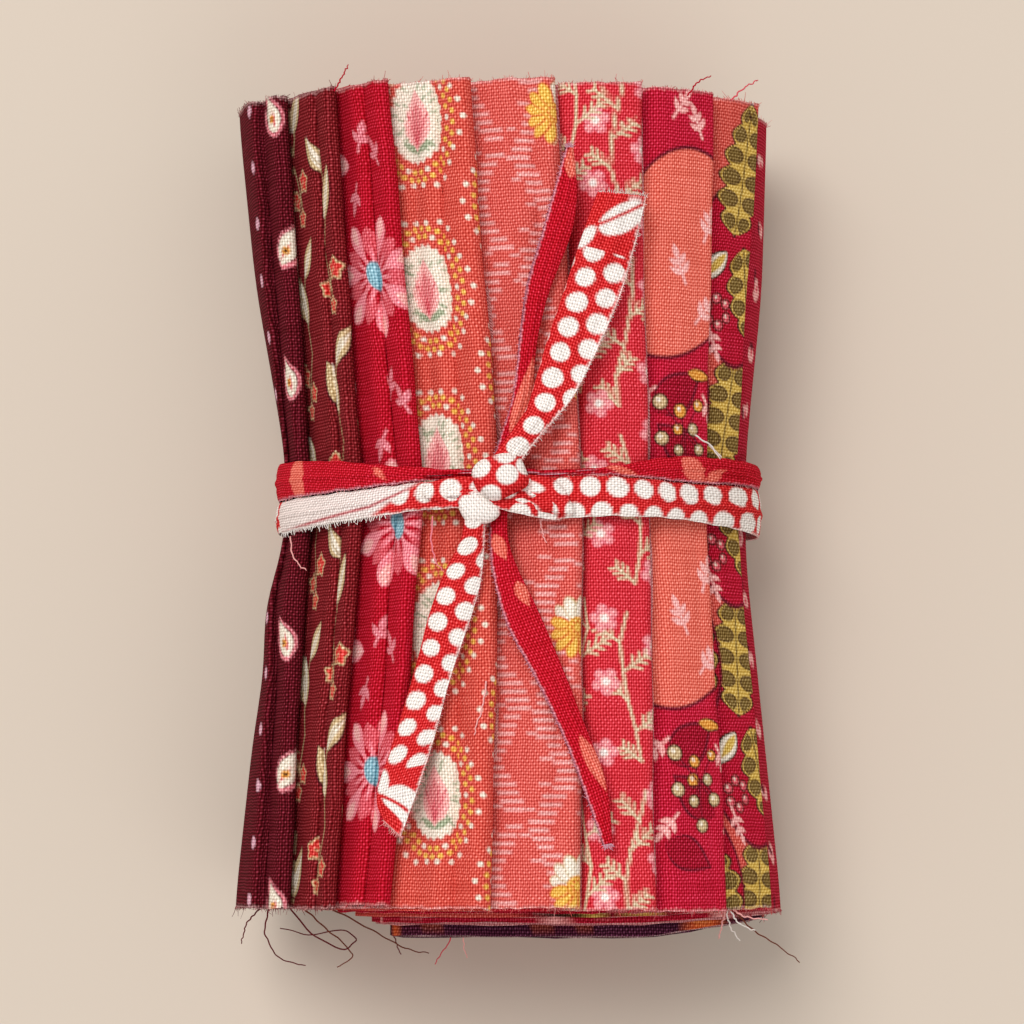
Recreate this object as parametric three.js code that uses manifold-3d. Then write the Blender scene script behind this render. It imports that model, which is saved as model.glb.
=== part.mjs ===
// A rolled bundle of folded cottons, tied round the middle with two cloth strips.
// Millimetres. X runs across the bundle, Y along it and Z up from the table.
import * as THREE from "three";
import Module from "manifold-3d";

// The cloths: each is folded double and wound once round the roll, its fold edge outside.
const CUT_LENGTH = 114.3;
const PLY = 1.0;
const PLY_GAP = 0.12;
const PACKET_GAP = 0.3;
const PACKET = 2 * PLY + PLY_GAP;
const PITCH = PACKET + PACKET_GAP;

// The section of the roll: a core slit of half-width FLAT, wound out to RADIUS.
const CORE_GAP = 0.8;
const HALF_WIDTH = 39.1;
const CROWN_DROP = 9;
const SPLAY = 0.06;
const TURN = 4;

// One row for each cloth, from the outermost: where its fold edge lies across the bundle at the far
// end, the waist and the near end (or how far round the right side it lies, in degrees), the width and
// height of the rolled ridge at the fold, and how far its raw ends stand towards the near end.
const CLOTHS = [
  { name: "burgundy_dot", far: -31.1, waist: -27.9, near: -30.4, ridge: 4.6, rise: 1.1, out: 0, deep: 0, colour: 0x5a1630 },
  { name: "maroon_leaf", far: -24.1, waist: -20.2, near: -24.0, ridge: 2.6, rise: 0.7, out: 0, deep: 0, colour: 0x6f2126 },
  { name: "crimson_daisy", far: -16.6, waist: -11.4, near: -15.9, ridge: 2.6, rise: 0.8, out: 0.3, deep: 0, colour: 0xac0a22 },
  { name: "coral_oval", far: -5.4, waist: -1.2, near: -2.6, ridge: 2.6, rise: 0.7, out: 0, deep: 0, colour: 0xd85440 },
  { name: "coral_dash", far: 6.2, waist: 10.1, near: 9.6, ridge: 2.4, rise: 0.3, out: 0.3, deep: 0, colour: 0xdd5240 },
  { name: "red_twig", far: 18.4, waist: 19.6, near: 20.3, ridge: 2.2, rise: 0.1, out: -0.1, deep: -0.3, colour: 0xc82c3a },
  { name: "crimson_petal", far: 29.3, waist: 28.1, near: 30.8, ridge: 2.2, rise: 0.1, out: -0.2, deep: -0.5, colour: 0xe06c54 },
  { name: "mustard_leaf", far: 36.3, waist: 32.6, near: 37.8, ridge: 2.2, rise: 0.1, out: 0.2, deep: -1.0, colour: 0xc79a45 },
  { name: "red_blossom", round: 112, ridge: 2.2, rise: 0.1, out: -0.6, deep: -2.1, colour: 0xa61a30 },
  { name: "plum_orange", round: 148, ridge: 2.2, rise: 0.1, out: -1.2, deep: -4.0, colour: 0x4a1a30 },
];
const STAND_SPREAD = 20;
const COUNT = CLOTHS.length;
const RADIUS = CORE_GAP + COUNT * PITCH;
const FLAT = HALF_WIDTH - RADIUS;

// How the tie draws the roll in: one row for each section along the bundle.
const SECTIONS = [
  { y: -CUT_LENGTH / 2, shift: 0.45, wide: 1.01, tall: 1, lift: 0 },
  { y: -32, shift: 0.5, wide: 0.945, tall: 0.96, lift: 0 },
  { y: -7, shift: 1.5, wide: 0.852, tall: 0.86, lift: 3 },
  { y: 7, shift: 1.5, wide: 0.852, tall: 0.86, lift: 3 },
  { y: 32, shift: 0.5, wide: 0.945, tall: 0.96, lift: 0 },
  { y: CUT_LENGTH / 2, shift: -0.35, wide: 0.99, tall: 1, lift: 0 },
];

// Steps between the bends of a section: bottom, left side, each fold in turn, and the right side.
const STEPS = { bottom: 1, leftSide: 5, folds: [1, 1, 1, 1, 1, 2, 1, 3, 2], lastFold: 1 };
const BOTTOM_RIGHT = -1;
const BOTTOM_LEFT = 0;

// The tie: two strips side by side round the waist, with a knot and four free ends on top.
const STRIP = 1.0;
const STRIP_GAP = 0.35;
const LOOP_SIDES = 28;
const LOOP_STEP = 4.5;
// One row for each place across the top: the upper edge of the plain strip, the line where the two
// strips meet and the lower edge of the dotted one.
const TIE_EDGES = [
  { x: -40, upper: 5.9, meet: -0.5, lower: -5.6 },
  { x: -24, upper: 4.6, meet: 0.2, lower: -4.4 },
  { x: -12, upper: 3.4, meet: 1.5, lower: -2.6 },
  { x: -2, upper: 3.2, meet: 1.7, lower: -2.2 },
  { x: 5, upper: 3.4, meet: 2.0, lower: -4.0 },
  { x: 13, upper: 4.0, meet: 2.4, lower: -3.2 },
  { x: 24, upper: 5.4, meet: 1.3, lower: -3.6 },
  { x: 40, upper: 4.9, meet: 1.7, lower: -6.2 },
];
const KNOT_X = -2.2;
const KNOT_RISE = 2.0;
const KNOT_REACH = { full: 4.5, none: 11 };
// The knot: the wrap on top, the bulge below it and the gathers to its right and left.
const KNOT_LUMPS = [
  { x: -1.7, y: 2.0, z: 4.6, rx: 4.3, ry: 3.1, rz: 2.8 },
  { x: -4.4, y: -2.4, z: 3.7, rx: 3.1, ry: 2.9, rz: 2.0 },
  { x: 3.6, y: 0.3, z: 3.9, rx: 3.6, ry: 2.7, rz: 1.6 },
  { x: -7.4, y: 0.9, z: 3.7, rx: 3.1, ry: 1.9, rz: 1.3 },
];
const LUMP_SEGMENTS = { around: 14, down: 8 };
const ARCH = 0.5;

// The free ends, a row for each section from the knot outwards: left and right edges and the height
// of the strip above the cloths.
const DOTTED_UP = [
  { left: [-3.2, 3.0], right: [0.6, 1.6], lift: 3.4 },
  { left: [-0.6, 7.2], right: [2.8, 5.6], lift: 3.2 },
  { left: [3.0, 11.6], right: [6.0, 9.8], lift: 2.8 },
  { left: [3.8, 13.6], right: [9.0, 12.6], lift: 2.2 },
  { left: [5.6, 21.0], right: [11.7, 18.6], lift: 1.6 },
  { left: [8.1, 28.2], right: [15.5, 26.4], lift: 1.2 },
  { left: [10.4, 35.2], right: [17.5, 33.0], lift: 1.2 },
  { left: [12.5, 41.3], right: [19.1, 41.0], lift: 1.6 },
];
const DOTTED_DOWN = [
  { left: [-5.6, -3.4], right: [-3.6, -3.2], lift: 2.4 },
  { left: [-5.8, -6.4], right: [-3.3, -6.2], lift: 1.8 },
  { left: [-8.9, -11.2], right: [-3.6, -12.4], lift: 1.0 },
  { left: [-10.9, -17.3], right: [-5.4, -18.3], lift: 0.6 },
  { left: [-12.5, -24.0], right: [-8.2, -25.0], lift: 0.5 },
  { left: [-15.4, -33.5], right: [-9.9, -33.3], lift: 0.4 },
  { left: [-18.3, -42.4], right: [-12.0, -40.0], lift: 0.4 },
  { left: [-17.0, -45.4], right: [-14.6, -47.4], lift: 0.5 },
];
const PLAIN_UP = [
  { left: [-2.4, 2.6], right: [0.2, 2.6], lift: 0 },
  { left: [-1.6, 6.2], right: [1.2, 6.2], lift: 0 },
  { left: [0.8, 13.2], right: [3.2, 13.2], lift: 0 },
  { left: [1.5, 20.2], right: [3.8, 20.6], lift: 0.2 },
  { left: [2.6, 28.6], right: [5.4, 28.0], lift: 0.8 },
  { left: [4.7, 35.4], right: [8.6, 35.0], lift: 1.6 },
  { left: [6.4, 41.6], right: [9.6, 41.0], lift: 1.6 },
  { left: [8.0, 47.4], right: [8.9, 47.4], lift: 1.4 },
];
const PLAIN_DOWN = [
  { left: [-2.4, 2.2], right: [0.2, 2.2], lift: 0 },
  { left: [-2.6, -6.0], right: [-0.4, -6.0], lift: 0 },
  { left: [-2.2, -11.0], right: [1.2, -10.6], lift: 0.3 },
  { left: [-0.4, -18.2], right: [4.2, -16.6], lift: 0.6 },
  { left: [3.6, -25.0], right: [7.4, -24.2], lift: 0.6 },
  { left: [8.0, -34.3], right: [11.2, -34.0], lift: 0.5 },
  { left: [10.8, -42.0], right: [13.8, -40.6], lift: 0.4 },
  { left: [13.0, -48.4], right: [14.1, -48.2], lift: 0.4 },
];
const STRIP_COLOURS = { dotted: 0xcd2a2c, plain: 0xb80e22 };
const ROUGHNESS = 0.92;

const lerp = (a, b, t) => a + (b - a) * t;

// The value of a table column at a place, between its rows.
function between(rows, key, at, column) {
  let i = 0;
  while (i < rows.length - 2 && at > rows[i + 1][key]) i += 1;
  const span = rows[i + 1][key] - rows[i][key];
  const t = THREE.MathUtils.clamp((at - rows[i][key]) / span, 0, 1);
  return lerp(rows[i][column], rows[i + 1][column], t);
}

// The foot on the core slit and the outward direction at a place round the roll. Each turn has four
// parts: left side upwards, top to the right, right side downwards and bottom to the left.
function ray(place) {
  const part = THREE.MathUtils.euclideanModulo(place, TURN);
  if (part < 1) {
    const angle = Math.PI * (1 - part);
    return { foot: -FLAT, across: -Math.sin(angle), up: Math.cos(angle) };
  }
  if (part < 2) return { foot: FLAT * (2 * part - 3), across: 0, up: 1 };
  if (part < 3) {
    const angle = Math.PI * (part - 2);
    return { foot: FLAT, across: Math.sin(angle), up: Math.cos(angle) };
  }
  return { foot: FLAT * (7 - 2 * part), across: 0, up: -1 };
}

// A point of a section, at a place round the roll and a distance from the core slit.
function sectionPoint(section, place, reach) {
  const { foot, across, up } = ray(place);
  const z = reach * up;
  const x = (foot + reach * across) * (1 - (SPLAY * z) / RADIUS);
  const height = z + RADIUS;
  const drop = CROWN_DROP * (x / HALF_WIDTH) ** 2 * (height / (2 * RADIUS));
  return new THREE.Vector2(
    section.shift + section.wide * x,
    section.lift + section.tall * (height - drop),
  );
}

// The place of a fold edge that lies at x on the upper half of a section.
function placeOf(section, x) {
  let low = 0.5;
  let high = 2.5;
  for (let i = 0; i < 40; i += 1) {
    const middle = (low + high) / 2;
    if (sectionPoint(section, middle, RADIUS).x < x) low = middle;
    else high = middle;
  }
  return low;
}

// The places of all fold edges in a section.
function foldPlaces(section) {
  const rows = [
    { y: -CUT_LENGTH / 2, column: "near" },
    { y: 0, column: "waist" },
    { y: CUT_LENGTH / 2, column: "far" },
  ];
  return CLOTHS.map((cloth) => {
    if (cloth.round) return 2 + cloth.round / 180;
    const table = rows.map((row) => ({ y: row.y, x: cloth[row.column] }));
    return placeOf(section, between(table, "y", section.y, "x"));
  });
}

// The bends of one turn, from the bottom right corner, each with the number of fold edges passed.
function bends(folds) {
  const list = [];
  const add = (from, to, passedFrom, passedTo, steps) => {
    for (let i = 0; i < steps; i += 1)
      list.push({ place: lerp(from, to, i / steps), passed: lerp(passedFrom, passedTo, i / steps) });
  };
  add(BOTTOM_RIGHT, BOTTOM_LEFT, 1, 1, STEPS.bottom);
  add(BOTTOM_LEFT, folds[0], 1, 1, STEPS.leftSide);
  STEPS.folds.forEach((steps, i) => add(folds[i], folds[i + 1], i + 1, i + 2, steps));
  add(folds[COUNT - 1], BOTTOM_RIGHT + TURN, COUNT, COUNT + 1, STEPS.lastFold);
  return list;
}

// The bends that a cloth follows, from its inner end to its fold edge.
function course(index, folds) {
  const oneTurn = bends(folds);
  const before = oneTurn.map((b) => ({ place: b.place - TURN, passed: b.passed - COUNT }));
  const start = index === COUNT - 1 ? BOTTOM_RIGHT : folds[index + 1] - TURN;
  const tiny = 1e-6;
  return [...before, ...oneTurn].filter((b) => b.place > start - tiny && b.place < folds[index] + tiny);
}

// The outline of one folded cloth in a section: out along the upper ply, round the fold edge, back
// along the lower ply, and out and back along the slit between the plies.
function clothOutline(index, section) {
  const cloth = CLOTHS[index];
  const folds = foldPlaces(section);
  const path = course(index, folds);
  const fold = folds[index];
  const reachAt = (passed) => CORE_GAP + PITCH * (COUNT - index - 1 + passed);
  const probe = 1e-3;
  const speed =
    sectionPoint(section, fold, RADIUS).distanceTo(sectionPoint(section, fold - probe, RADIUS)) / probe;
  const back = (length) => fold - length / speed;
  const bendBefore = path[path.length - 2];
  const passedAt = (place) =>
    lerp(bendBefore.passed, index + 1, (place - bendBefore.place) / (fold - bendBefore.place));
  const plies = path.slice(0, -1);
  plies.push({ place: back(PACKET / 2), passed: passedAt(back(PACKET / 2)) });
  const face = (depth) =>
    plies.map((b) => sectionPoint(section, b.place, reachAt(b.passed) - depth));
  const top = path.slice(0, -1).map((b) => sectionPoint(section, b.place, reachAt(b.passed)));
  const ridge = [
    { from: 1.5 * cloth.ridge, rise: 0 },
    { from: cloth.ridge, rise: -0.35 * cloth.rise },
    { from: 0.6 * cloth.ridge, rise: 0.9 * cloth.rise },
    { from: PACKET / 2, rise: cloth.rise },
  ];
  for (const { from, rise } of ridge)
    top.push(sectionPoint(section, back(from), reachAt(passedAt(back(from))) + rise));
  const under = face(PACKET);
  const upperEnd = top[top.length - 1];
  const lowerEnd = under[under.length - 1];
  const centre = upperEnd.clone().add(lowerEnd).multiplyScalar(0.5);
  const normal = upperEnd.clone().sub(centre);
  const tangent = new THREE.Vector2(normal.y, -normal.x).setLength(PACKET / 2);
  const cap = [0.25, 0.5, 0.75].map((t) =>
    centre
      .clone()
      .addScaledVector(normal, Math.cos(Math.PI * t))
      .addScaledVector(tangent, Math.sin(Math.PI * t)),
  );
  const slitLow = face(PLY + PLY_GAP);
  const slitHigh = face(PLY);
  const runsBack = [
    ...[...top, ...cap].map(() => false),
    ...under.map(() => true),
    ...slitLow.map(() => false),
    ...slitHigh.map(() => true),
  ];
  return { points: [...top, ...cap, ...under.reverse(), ...slitLow, ...slitHigh.reverse()], runsBack };
}

// A closed solid through rings of points, all of one length, with flat ends. The points of a ring that
// run back along the cloth have their faces split the other way, so that facing plies split alike.
function loft(rings, runsBack) {
  const count = rings[0].length;
  const corners = rings.flat();
  const faces = [];
  for (let r = 0; r + 1 < rings.length; r += 1)
    for (let i = 0; i < count; i += 1) {
      const a = r * count + i;
      const b = r * count + ((i + 1) % count);
      if (runsBack[i]) faces.push(a, b, a + count, b, b + count, a + count);
      else faces.push(a, b, b + count, a, b + count, a + count);
    }
  const closeEnd = (ring, start, turned) => {
    const flat = ring.map((p) => new THREE.Vector2(p.x, p.z));
    const sense = Math.sign(THREE.ShapeUtils.area(flat));
    for (const [a, b, c] of THREE.ShapeUtils.triangulateShape(flat, [])) {
      const agrees = Math.sign(THREE.ShapeUtils.area([flat[a], flat[b], flat[c]])) === sense;
      const swap = agrees === turned;
      faces.push(start + a, start + (swap ? c : b), start + (swap ? b : c));
    }
  };
  closeEnd(rings[0], 0, true);
  closeEnd(rings[rings.length - 1], (rings.length - 1) * count, false);
  return solid(corners, faces);
}

// A geometry from corners and faces, its faces turned outwards.
function solid(corners, faces) {
  let volume = 0;
  for (let i = 0; i < faces.length; i += 3) {
    const [a, b, c] = [corners[faces[i]], corners[faces[i + 1]], corners[faces[i + 2]]];
    volume += a.dot(b.clone().cross(c));
  }
  if (volume < 0)
    for (let i = 0; i < faces.length; i += 3) [faces[i], faces[i + 1]] = [faces[i + 1], faces[i]];
  const geometry = new THREE.BufferGeometry().setFromPoints(corners);
  geometry.setIndex(faces);
  return geometry;
}

// One cloth: its outline in every section. At its raw ends each line along the cloth is cut where the
// end stands, or drawn out to there.
function clothGeometry(index) {
  const cloth = CLOTHS[index];
  const last = SECTIONS.length - 1;
  const outlines = SECTIONS.map((section) => clothOutline(index, section).points);
  const rings = SECTIONS.map((section, s) =>
    outlines[s].map((p, i) => {
      if (s > 0 && s < last) return new THREE.Vector3(p.x, section.y, p.y);
      const inner = s === 0 ? 1 : last - 1;
      const deep = THREE.MathUtils.clamp((cloth.edge - p.x) / STAND_SPREAD, 0, 1);
      const stand = lerp(cloth.out, cloth.deep, deep);
      const end = p.clone().lerp(outlines[inner][i], -stand / (section.y - SECTIONS[inner].y));
      return new THREE.Vector3(end.x, section.y + stand, end.y);
    }),
  );
  return loft(rings, clothOutline(index, SECTIONS[0]).runsBack);
}

// The convex outline round all cloths in a section, from its lowest left point.
function hullOf(points) {
  const sorted = [...points].sort((a, b) => a.x - b.x || a.y - b.y);
  const half = (list) => {
    const chain = [];
    for (const p of list) {
      while (chain.length > 1) {
        const [a, b] = chain.slice(-2);
        if ((b.x - a.x) * (p.y - a.y) - (b.y - a.y) * (p.x - a.x) > 0) break;
        chain.pop();
      }
      chain.push(p);
    }
    return chain;
  };
  const lower = half(sorted);
  const upper = half([...sorted].reverse());
  return { upper, round: [...lower.slice(0, -1), ...upper.slice(0, -1)] };
}

for (const cloth of CLOTHS) cloth.edge = cloth.round ? HALF_WIDTH : cloth.far;
const HULLS = SECTIONS.map((section) => ({
  y: section.y,
  ...hullOf(CLOTHS.flatMap((_, i) => clothOutline(i, section).points)),
}));

// The height of the bundle's top at a place, over its ridges.
function topAt(x, y) {
  const heights = HULLS.map((hull) => {
    const line = [...hull.upper].reverse().map((p) => ({ x: p.x, z: p.y }));
    return { y: hull.y, z: between(line, "x", x, "z") };
  });
  return between(heights, "y", y, "z");
}

// Points round the waist, with their outward directions, on lines that touch the cloths all round.
function waistLoop() {
  const lines = Array.from({ length: LOOP_SIDES }, (_, i) => {
    const angle = (2 * Math.PI * i) / LOOP_SIDES;
    const out = new THREE.Vector2(Math.cos(angle), Math.sin(angle));
    return { out, far: Math.max(...HULLS[2].round.map((p) => p.dot(out))) };
  });
  const corners = lines.map((line, i) => {
    const next = lines[(i + 1) % LOOP_SIDES];
    const cross = line.out.cross(next.out);
    return new THREE.Vector2(
      (line.far * next.out.y - next.far * line.out.y) / cross,
      (next.far * line.out.x - line.far * next.out.x) / cross,
    );
  });
  const points = corners.flatMap((corner, i) => {
    const next = corners[(i + 1) % LOOP_SIDES];
    const pieces = Math.max(1, Math.ceil(corner.distanceTo(next) / LOOP_STEP));
    return Array.from({ length: pieces }, (_, n) => corner.clone().lerp(next, n / pieces));
  });
  const count = points.length;
  return points.map((p, i) => {
    const along = points[(i + 1) % count].clone().sub(points[(i + count - 1) % count]).normalize();
    return { p, out: new THREE.Vector2(along.y, -along.x) };
  });
}

// How far a strip rises above the waist near the knot.
function knotRise(p) {
  if (p.y < RADIUS) return 0;
  const away = Math.abs(p.x - KNOT_X);
  const t = THREE.MathUtils.smoothstep(away, KNOT_REACH.full, KNOT_REACH.none);
  return KNOT_RISE * (1 - t);
}

// A strip round the waist between two columns of the edge table, arched a little across its width.
function loopGeometry(lowColumn, highColumn, rises) {
  const rings = waistLoop().map(({ p, out }) => {
    const edge = (column) => between(TIE_EDGES, "x", p.x, column);
    const low = edge(lowColumn) + (lowColumn === "meet" ? STRIP_GAP / 2 : 0);
    const high = edge(highColumn) - (highColumn === "meet" ? STRIP_GAP / 2 : 0);
    const base = STRIP_GAP + (rises ? knotRise(p) : 0);
    const at = (y, off) => {
      const q = p.clone().addScaledVector(out, base + off);
      return new THREE.Vector3(q.x, y, q.y);
    };
    const middle = (low + high) / 2;
    return [at(low, 0), at(low, STRIP), at(middle, STRIP + ARCH), at(high, STRIP), at(high, 0)];
  });
  const count = rings[0].length;
  const faces = [];
  rings.forEach((_, r) => {
    const next = (r + 1) % rings.length;
    for (let i = 0; i < count; i += 1) {
      const j = (i + 1) % count;
      faces.push(r * count + i, r * count + j, next * count + j);
      faces.push(r * count + i, next * count + j, next * count + i);
    }
  });
  return solid(rings.flat(), faces);
}

// A free end: a strip over the cloths, arched a little across its width.
function endGeometry(rows) {
  const rings = rows.map(({ left, right, lift }) => {
    const at = ([x, y], off) => new THREE.Vector3(x, y, topAt(x, y) + STRIP_GAP + lift + off);
    const middle = [(left[0] + right[0]) / 2, (left[1] + right[1]) / 2];
    return [
      at(left, 0),
      at(middle, ARCH),
      at(right, 0),
      at(right, STRIP),
      at(middle, STRIP + ARCH),
      at(left, STRIP),
    ];
  });
  return ribbon(rings);
}

// A closed solid through the six-point rings of a strip.
function ribbon(rings) {
  const count = rings[0].length;
  const faces = [];
  for (let r = 0; r + 1 < rings.length; r += 1)
    for (let i = 0; i < count; i += 1) {
      const a = r * count + i;
      const b = r * count + ((i + 1) % count);
      faces.push(a, b, b + count, a, b + count, a + count);
    }
  for (const [start, turned] of [[0, true], [(rings.length - 1) * count, false]])
    for (const quad of [[0, 1, 4, 5], [1, 2, 3, 4]]) {
      const [a, b, c, d] = quad.map((i) => start + i);
      faces.push(...(turned ? [a, c, b, a, d, c] : [a, b, c, a, c, d]));
    }
  return solid(rings.flat(), faces);
}

// One rounded lump of the knot, its height counted from the top of the waist.
function lumpGeometry({ x, y, z, rx, ry, rz }) {
  const geometry = new THREE.SphereGeometry(1, LUMP_SEGMENTS.around, LUMP_SEGMENTS.down);
  geometry.scale(rx, ry, rz);
  geometry.translate(x, y, topAt(x, y) + z);
  return geometry;
}

const wasm = await Module();
wasm.setup();

// A geometry as a solid that can be joined to others.
function toSolid(geometry) {
  const keys = new Map();
  const corners = [];
  const remap = [];
  const position = geometry.getAttribute("position");
  for (let i = 0; i < position.count; i += 1) {
    const p = [position.getX(i), position.getY(i), position.getZ(i)];
    const key = p.map((v) => v.toFixed(4)).join(",");
    if (!keys.has(key)) {
      keys.set(key, corners.length / 3);
      corners.push(...p);
    }
    remap.push(keys.get(key));
  }
  const index = Array.from(geometry.index.array, (i) => remap[i]);
  const faces = [];
  for (let i = 0; i < index.length; i += 3) {
    const [a, b, c] = index.slice(i, i + 3);
    if (a !== b && b !== c && c !== a) faces.push(a, b, c);
  }
  return new wasm.Manifold(
    new wasm.Mesh({
      numProp: 3,
      vertProperties: new Float32Array(corners),
      triVerts: new Uint32Array(faces),
    }),
  );
}

// Several geometries joined into one.
function join(geometries) {
  const mesh = wasm.Manifold.union(geometries.map(toSolid)).getMesh();
  const geometry = new THREE.BufferGeometry();
  geometry.setAttribute("position", new THREE.BufferAttribute(mesh.vertProperties, 3));
  geometry.setIndex(new THREE.BufferAttribute(mesh.triVerts, 1));
  return geometry;
}

const bundle = new THREE.Group();

function place(name, geometry, colour) {
  const material = new THREE.MeshStandardMaterial({ color: colour, roughness: ROUGHNESS, metalness: 0 });
  const mesh = new THREE.Mesh(geometry, material);
  mesh.name = name;
  bundle.add(mesh);
}

CLOTHS.forEach((cloth, i) => place(cloth.name, clothGeometry(i), cloth.colour));
place(
  "tie_dotted",
  join([
    loopGeometry("lower", "meet", true),
    ...KNOT_LUMPS.map(lumpGeometry),
    endGeometry(DOTTED_UP),
    endGeometry(DOTTED_DOWN),
  ]),
  STRIP_COLOURS.dotted,
);
place(
  "tie_plain",
  join([loopGeometry("meet", "upper", false), endGeometry(PLAIN_UP), endGeometry(PLAIN_DOWN)]),
  STRIP_COLOURS.plain,
);

// The origin is under the middle of the bundle, on the table.
const box = new THREE.Box3().setFromObject(bundle);
const middle = box.getCenter(new THREE.Vector3());
for (const mesh of bundle.children) mesh.geometry.translate(-middle.x, -middle.y, -box.min.z);

export default bundle;
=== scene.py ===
"""A rolled bundle of folded printed cottons, drawn in at the waist by two knotted cloth strips."""

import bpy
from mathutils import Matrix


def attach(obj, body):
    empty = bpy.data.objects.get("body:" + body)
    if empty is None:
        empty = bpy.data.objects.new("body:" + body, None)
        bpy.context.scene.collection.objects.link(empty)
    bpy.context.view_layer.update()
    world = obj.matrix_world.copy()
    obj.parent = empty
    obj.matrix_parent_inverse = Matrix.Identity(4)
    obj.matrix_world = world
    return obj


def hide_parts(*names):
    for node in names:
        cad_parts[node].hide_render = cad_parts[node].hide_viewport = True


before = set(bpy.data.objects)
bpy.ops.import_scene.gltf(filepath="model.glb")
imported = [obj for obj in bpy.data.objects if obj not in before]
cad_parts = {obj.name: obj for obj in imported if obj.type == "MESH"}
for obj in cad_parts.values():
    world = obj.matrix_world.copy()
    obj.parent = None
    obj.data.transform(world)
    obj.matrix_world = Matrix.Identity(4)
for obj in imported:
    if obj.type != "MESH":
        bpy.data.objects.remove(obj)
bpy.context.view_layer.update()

import math

import bpy
import numpy as np
from bpy.props import FloatProperty, FloatVectorProperty, PointerProperty
from mathutils import Vector

bl_info = {
    "name": "Rolled Cotton Bundle",
    "version": (1, 0, 0),
    "blender": (4, 5, 0),
    "location": "3D View > Sidebar > Bundle",
    "description": "Builds a rolled, tied bundle of printed cottons with its threads, light and camera",
    "category": "Add Mesh",
}

MM = 0.001
# Places round the roll: how many make a turn, and those of its two lower corners.
TURN = 4
BOTTOM_RIGHT = -1
BOTTOM_LEFT = 0
# The middle of the bundle in the lengths below, which is set over the origin, and what the camera looks at.
CENTRE = (0.1223, -1.85)
AIM = (0.55, -2.75, 48)
# The colour of the lamps and the room.
WARM_WHITE = (1.0, 0.985, 0.965)

# Mesh steps of the cloths on top and on the right side, and a fold edge that lies almost flat.
TOP_MESH = {"across": 0.225, "along": 0.25}
SIDE_MESH = {"across": 0.46, "along": 0.46}
LOW_FOLD = {"ridge": 2.2, "rise": 0.1, "groove": 0.05}
# One row for each cloth, from the outermost, in millimetres: where its fold edge lies across the bundle at
# the far end, the waist and the near end (or how far round the right side, in degrees), the width and
# height of the roll at the fold, the depth of the groove beside it, how far its ends stand towards the far
# end, at the fold edge and deep in the roll, and the step of its mesh across and along the part that shows.
CLOTHS = [
    {"name": "burgundy_dot", "far": -32.4, "waist": -29.2, "near": -31.7, "ridge": 4.0, "rise": 1.3, "groove": 0.85,
     "out": 0.0, "deep": 0.0, "across": 0.30, "along": 0.35},
    {"name": "maroon_leaf", "far": -24.9, "waist": -21.0, "near": -24.6, "ridge": 2.7, "rise": 1.2, "groove": 0.85,
     "out": 0.0, "deep": 0.0, **TOP_MESH},
    {"name": "crimson_daisy", "far": -17.0, "waist": -11.8, "near": -16.4, "ridge": 3.0, "rise": 1.1, "groove": 0.85,
     "out": 0.3, "deep": 0.0, **TOP_MESH},
    {"name": "coral_oval", "far": -5.4, "waist": -1.2, "near": -2.6, "ridge": 4.0, "rise": 1.1, "groove": 0.74,
     "out": 0.0, "deep": 0.0, **TOP_MESH},
    {"name": "coral_dash", "far": 6.2, "waist": 10.1, "near": 9.6, "ridge": 2.8, "rise": 0.5, "groove": 0.5,
     "out": 0.3, "deep": 0.0, **TOP_MESH},
    {"name": "red_twig", "far": 18.4, "waist": 19.6, "near": 20.3, **LOW_FOLD,
     "out": -0.1, "deep": -0.3, **TOP_MESH},
    {"name": "crimson_petal", "far": 29.3, "waist": 28.1, "near": 30.8, **LOW_FOLD,
     "out": -0.2, "deep": -0.5, **TOP_MESH},
    {"name": "mustard_leaf", "far": 36.3, "waist": 32.6, "near": 37.8, **LOW_FOLD,
     "out": 0.2, "deep": -1.0, **TOP_MESH},
    {"name": "red_blossom", "round": 112, **LOW_FOLD,
     "out": -0.6, "deep": -2.1, **SIDE_MESH},
    {"name": "plum_orange", "round": 148, **LOW_FOLD,
     "out": -1.2, "deep": -4.0, **SIDE_MESH},
]

# Relief along a fold edge, in millimetres and parts of one: how uneven its roll is, how much the tie presses it and
# over what length, where the roll is highest and how it falls, where the groove lies, how far it strays, its sharp
# and broad parts, the pillow past it, and soft waves.
EDGE = {"slack": 0.35, "pressed": 0.5, "pressed_length": 7, "top": 0.35, "fall": 0.75, "groove": 1.08, "stray": 0.2,
        "sharp": 0.7, "sharp_width": 0.42, "broad": 0.3, "broad_back": 0.2, "broad_width": 1.2,
        "pillow": 0.8, "pillow_past": 2.2, "pillow_width": 1.3, "soft": 0.12, "soft_width": 9}
# The trough where a cloth dives under the next one's fold edge.
TROUGH = {"depth": 0.95, "past": 0.6, "width": 2.2}
# The outermost cloth's second roll, back from its fold edge, and its bulge beside the waist.
SECOND_ROLL = {"back": 8.4, "rise": 2.6, "inside": 7.0, "outside": 3.2}
BULGE = {"y": -14, "length": 8, "out": 1.5}
# How much the second layer, its fold and the third layer sink at the fold edge, and how far back from it.
GIVE = {"second": 0.48, "fold": 0.38, "third": 0.28, "width": 18}
# The raw ends: the width over which their stand changes, their unevenness, and that of the four layers.
STAND_SPREAD = 20
END_WAVER = 0.16
LAYER_WAVER = 0.25
# Steps of the meshes where they are hidden, in a margin under the next fold edge, and on the outermost cloth's side
# up to a fine length by its fold edge.
COARSE = {"across": 3.0, "along": 5.0}
HIDDEN_MARGIN = 4.0
HIDDEN_STEP = 0.8
SIDE_STEP = 1.1
FINE_LENGTH = 22
# Steps round a fold edge, how many of them are hidden below it, and steps round the folds inside.
FOLD_STEPS = 14
FOLD_HIDDEN = 3
INNER_STEPS = 5

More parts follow.
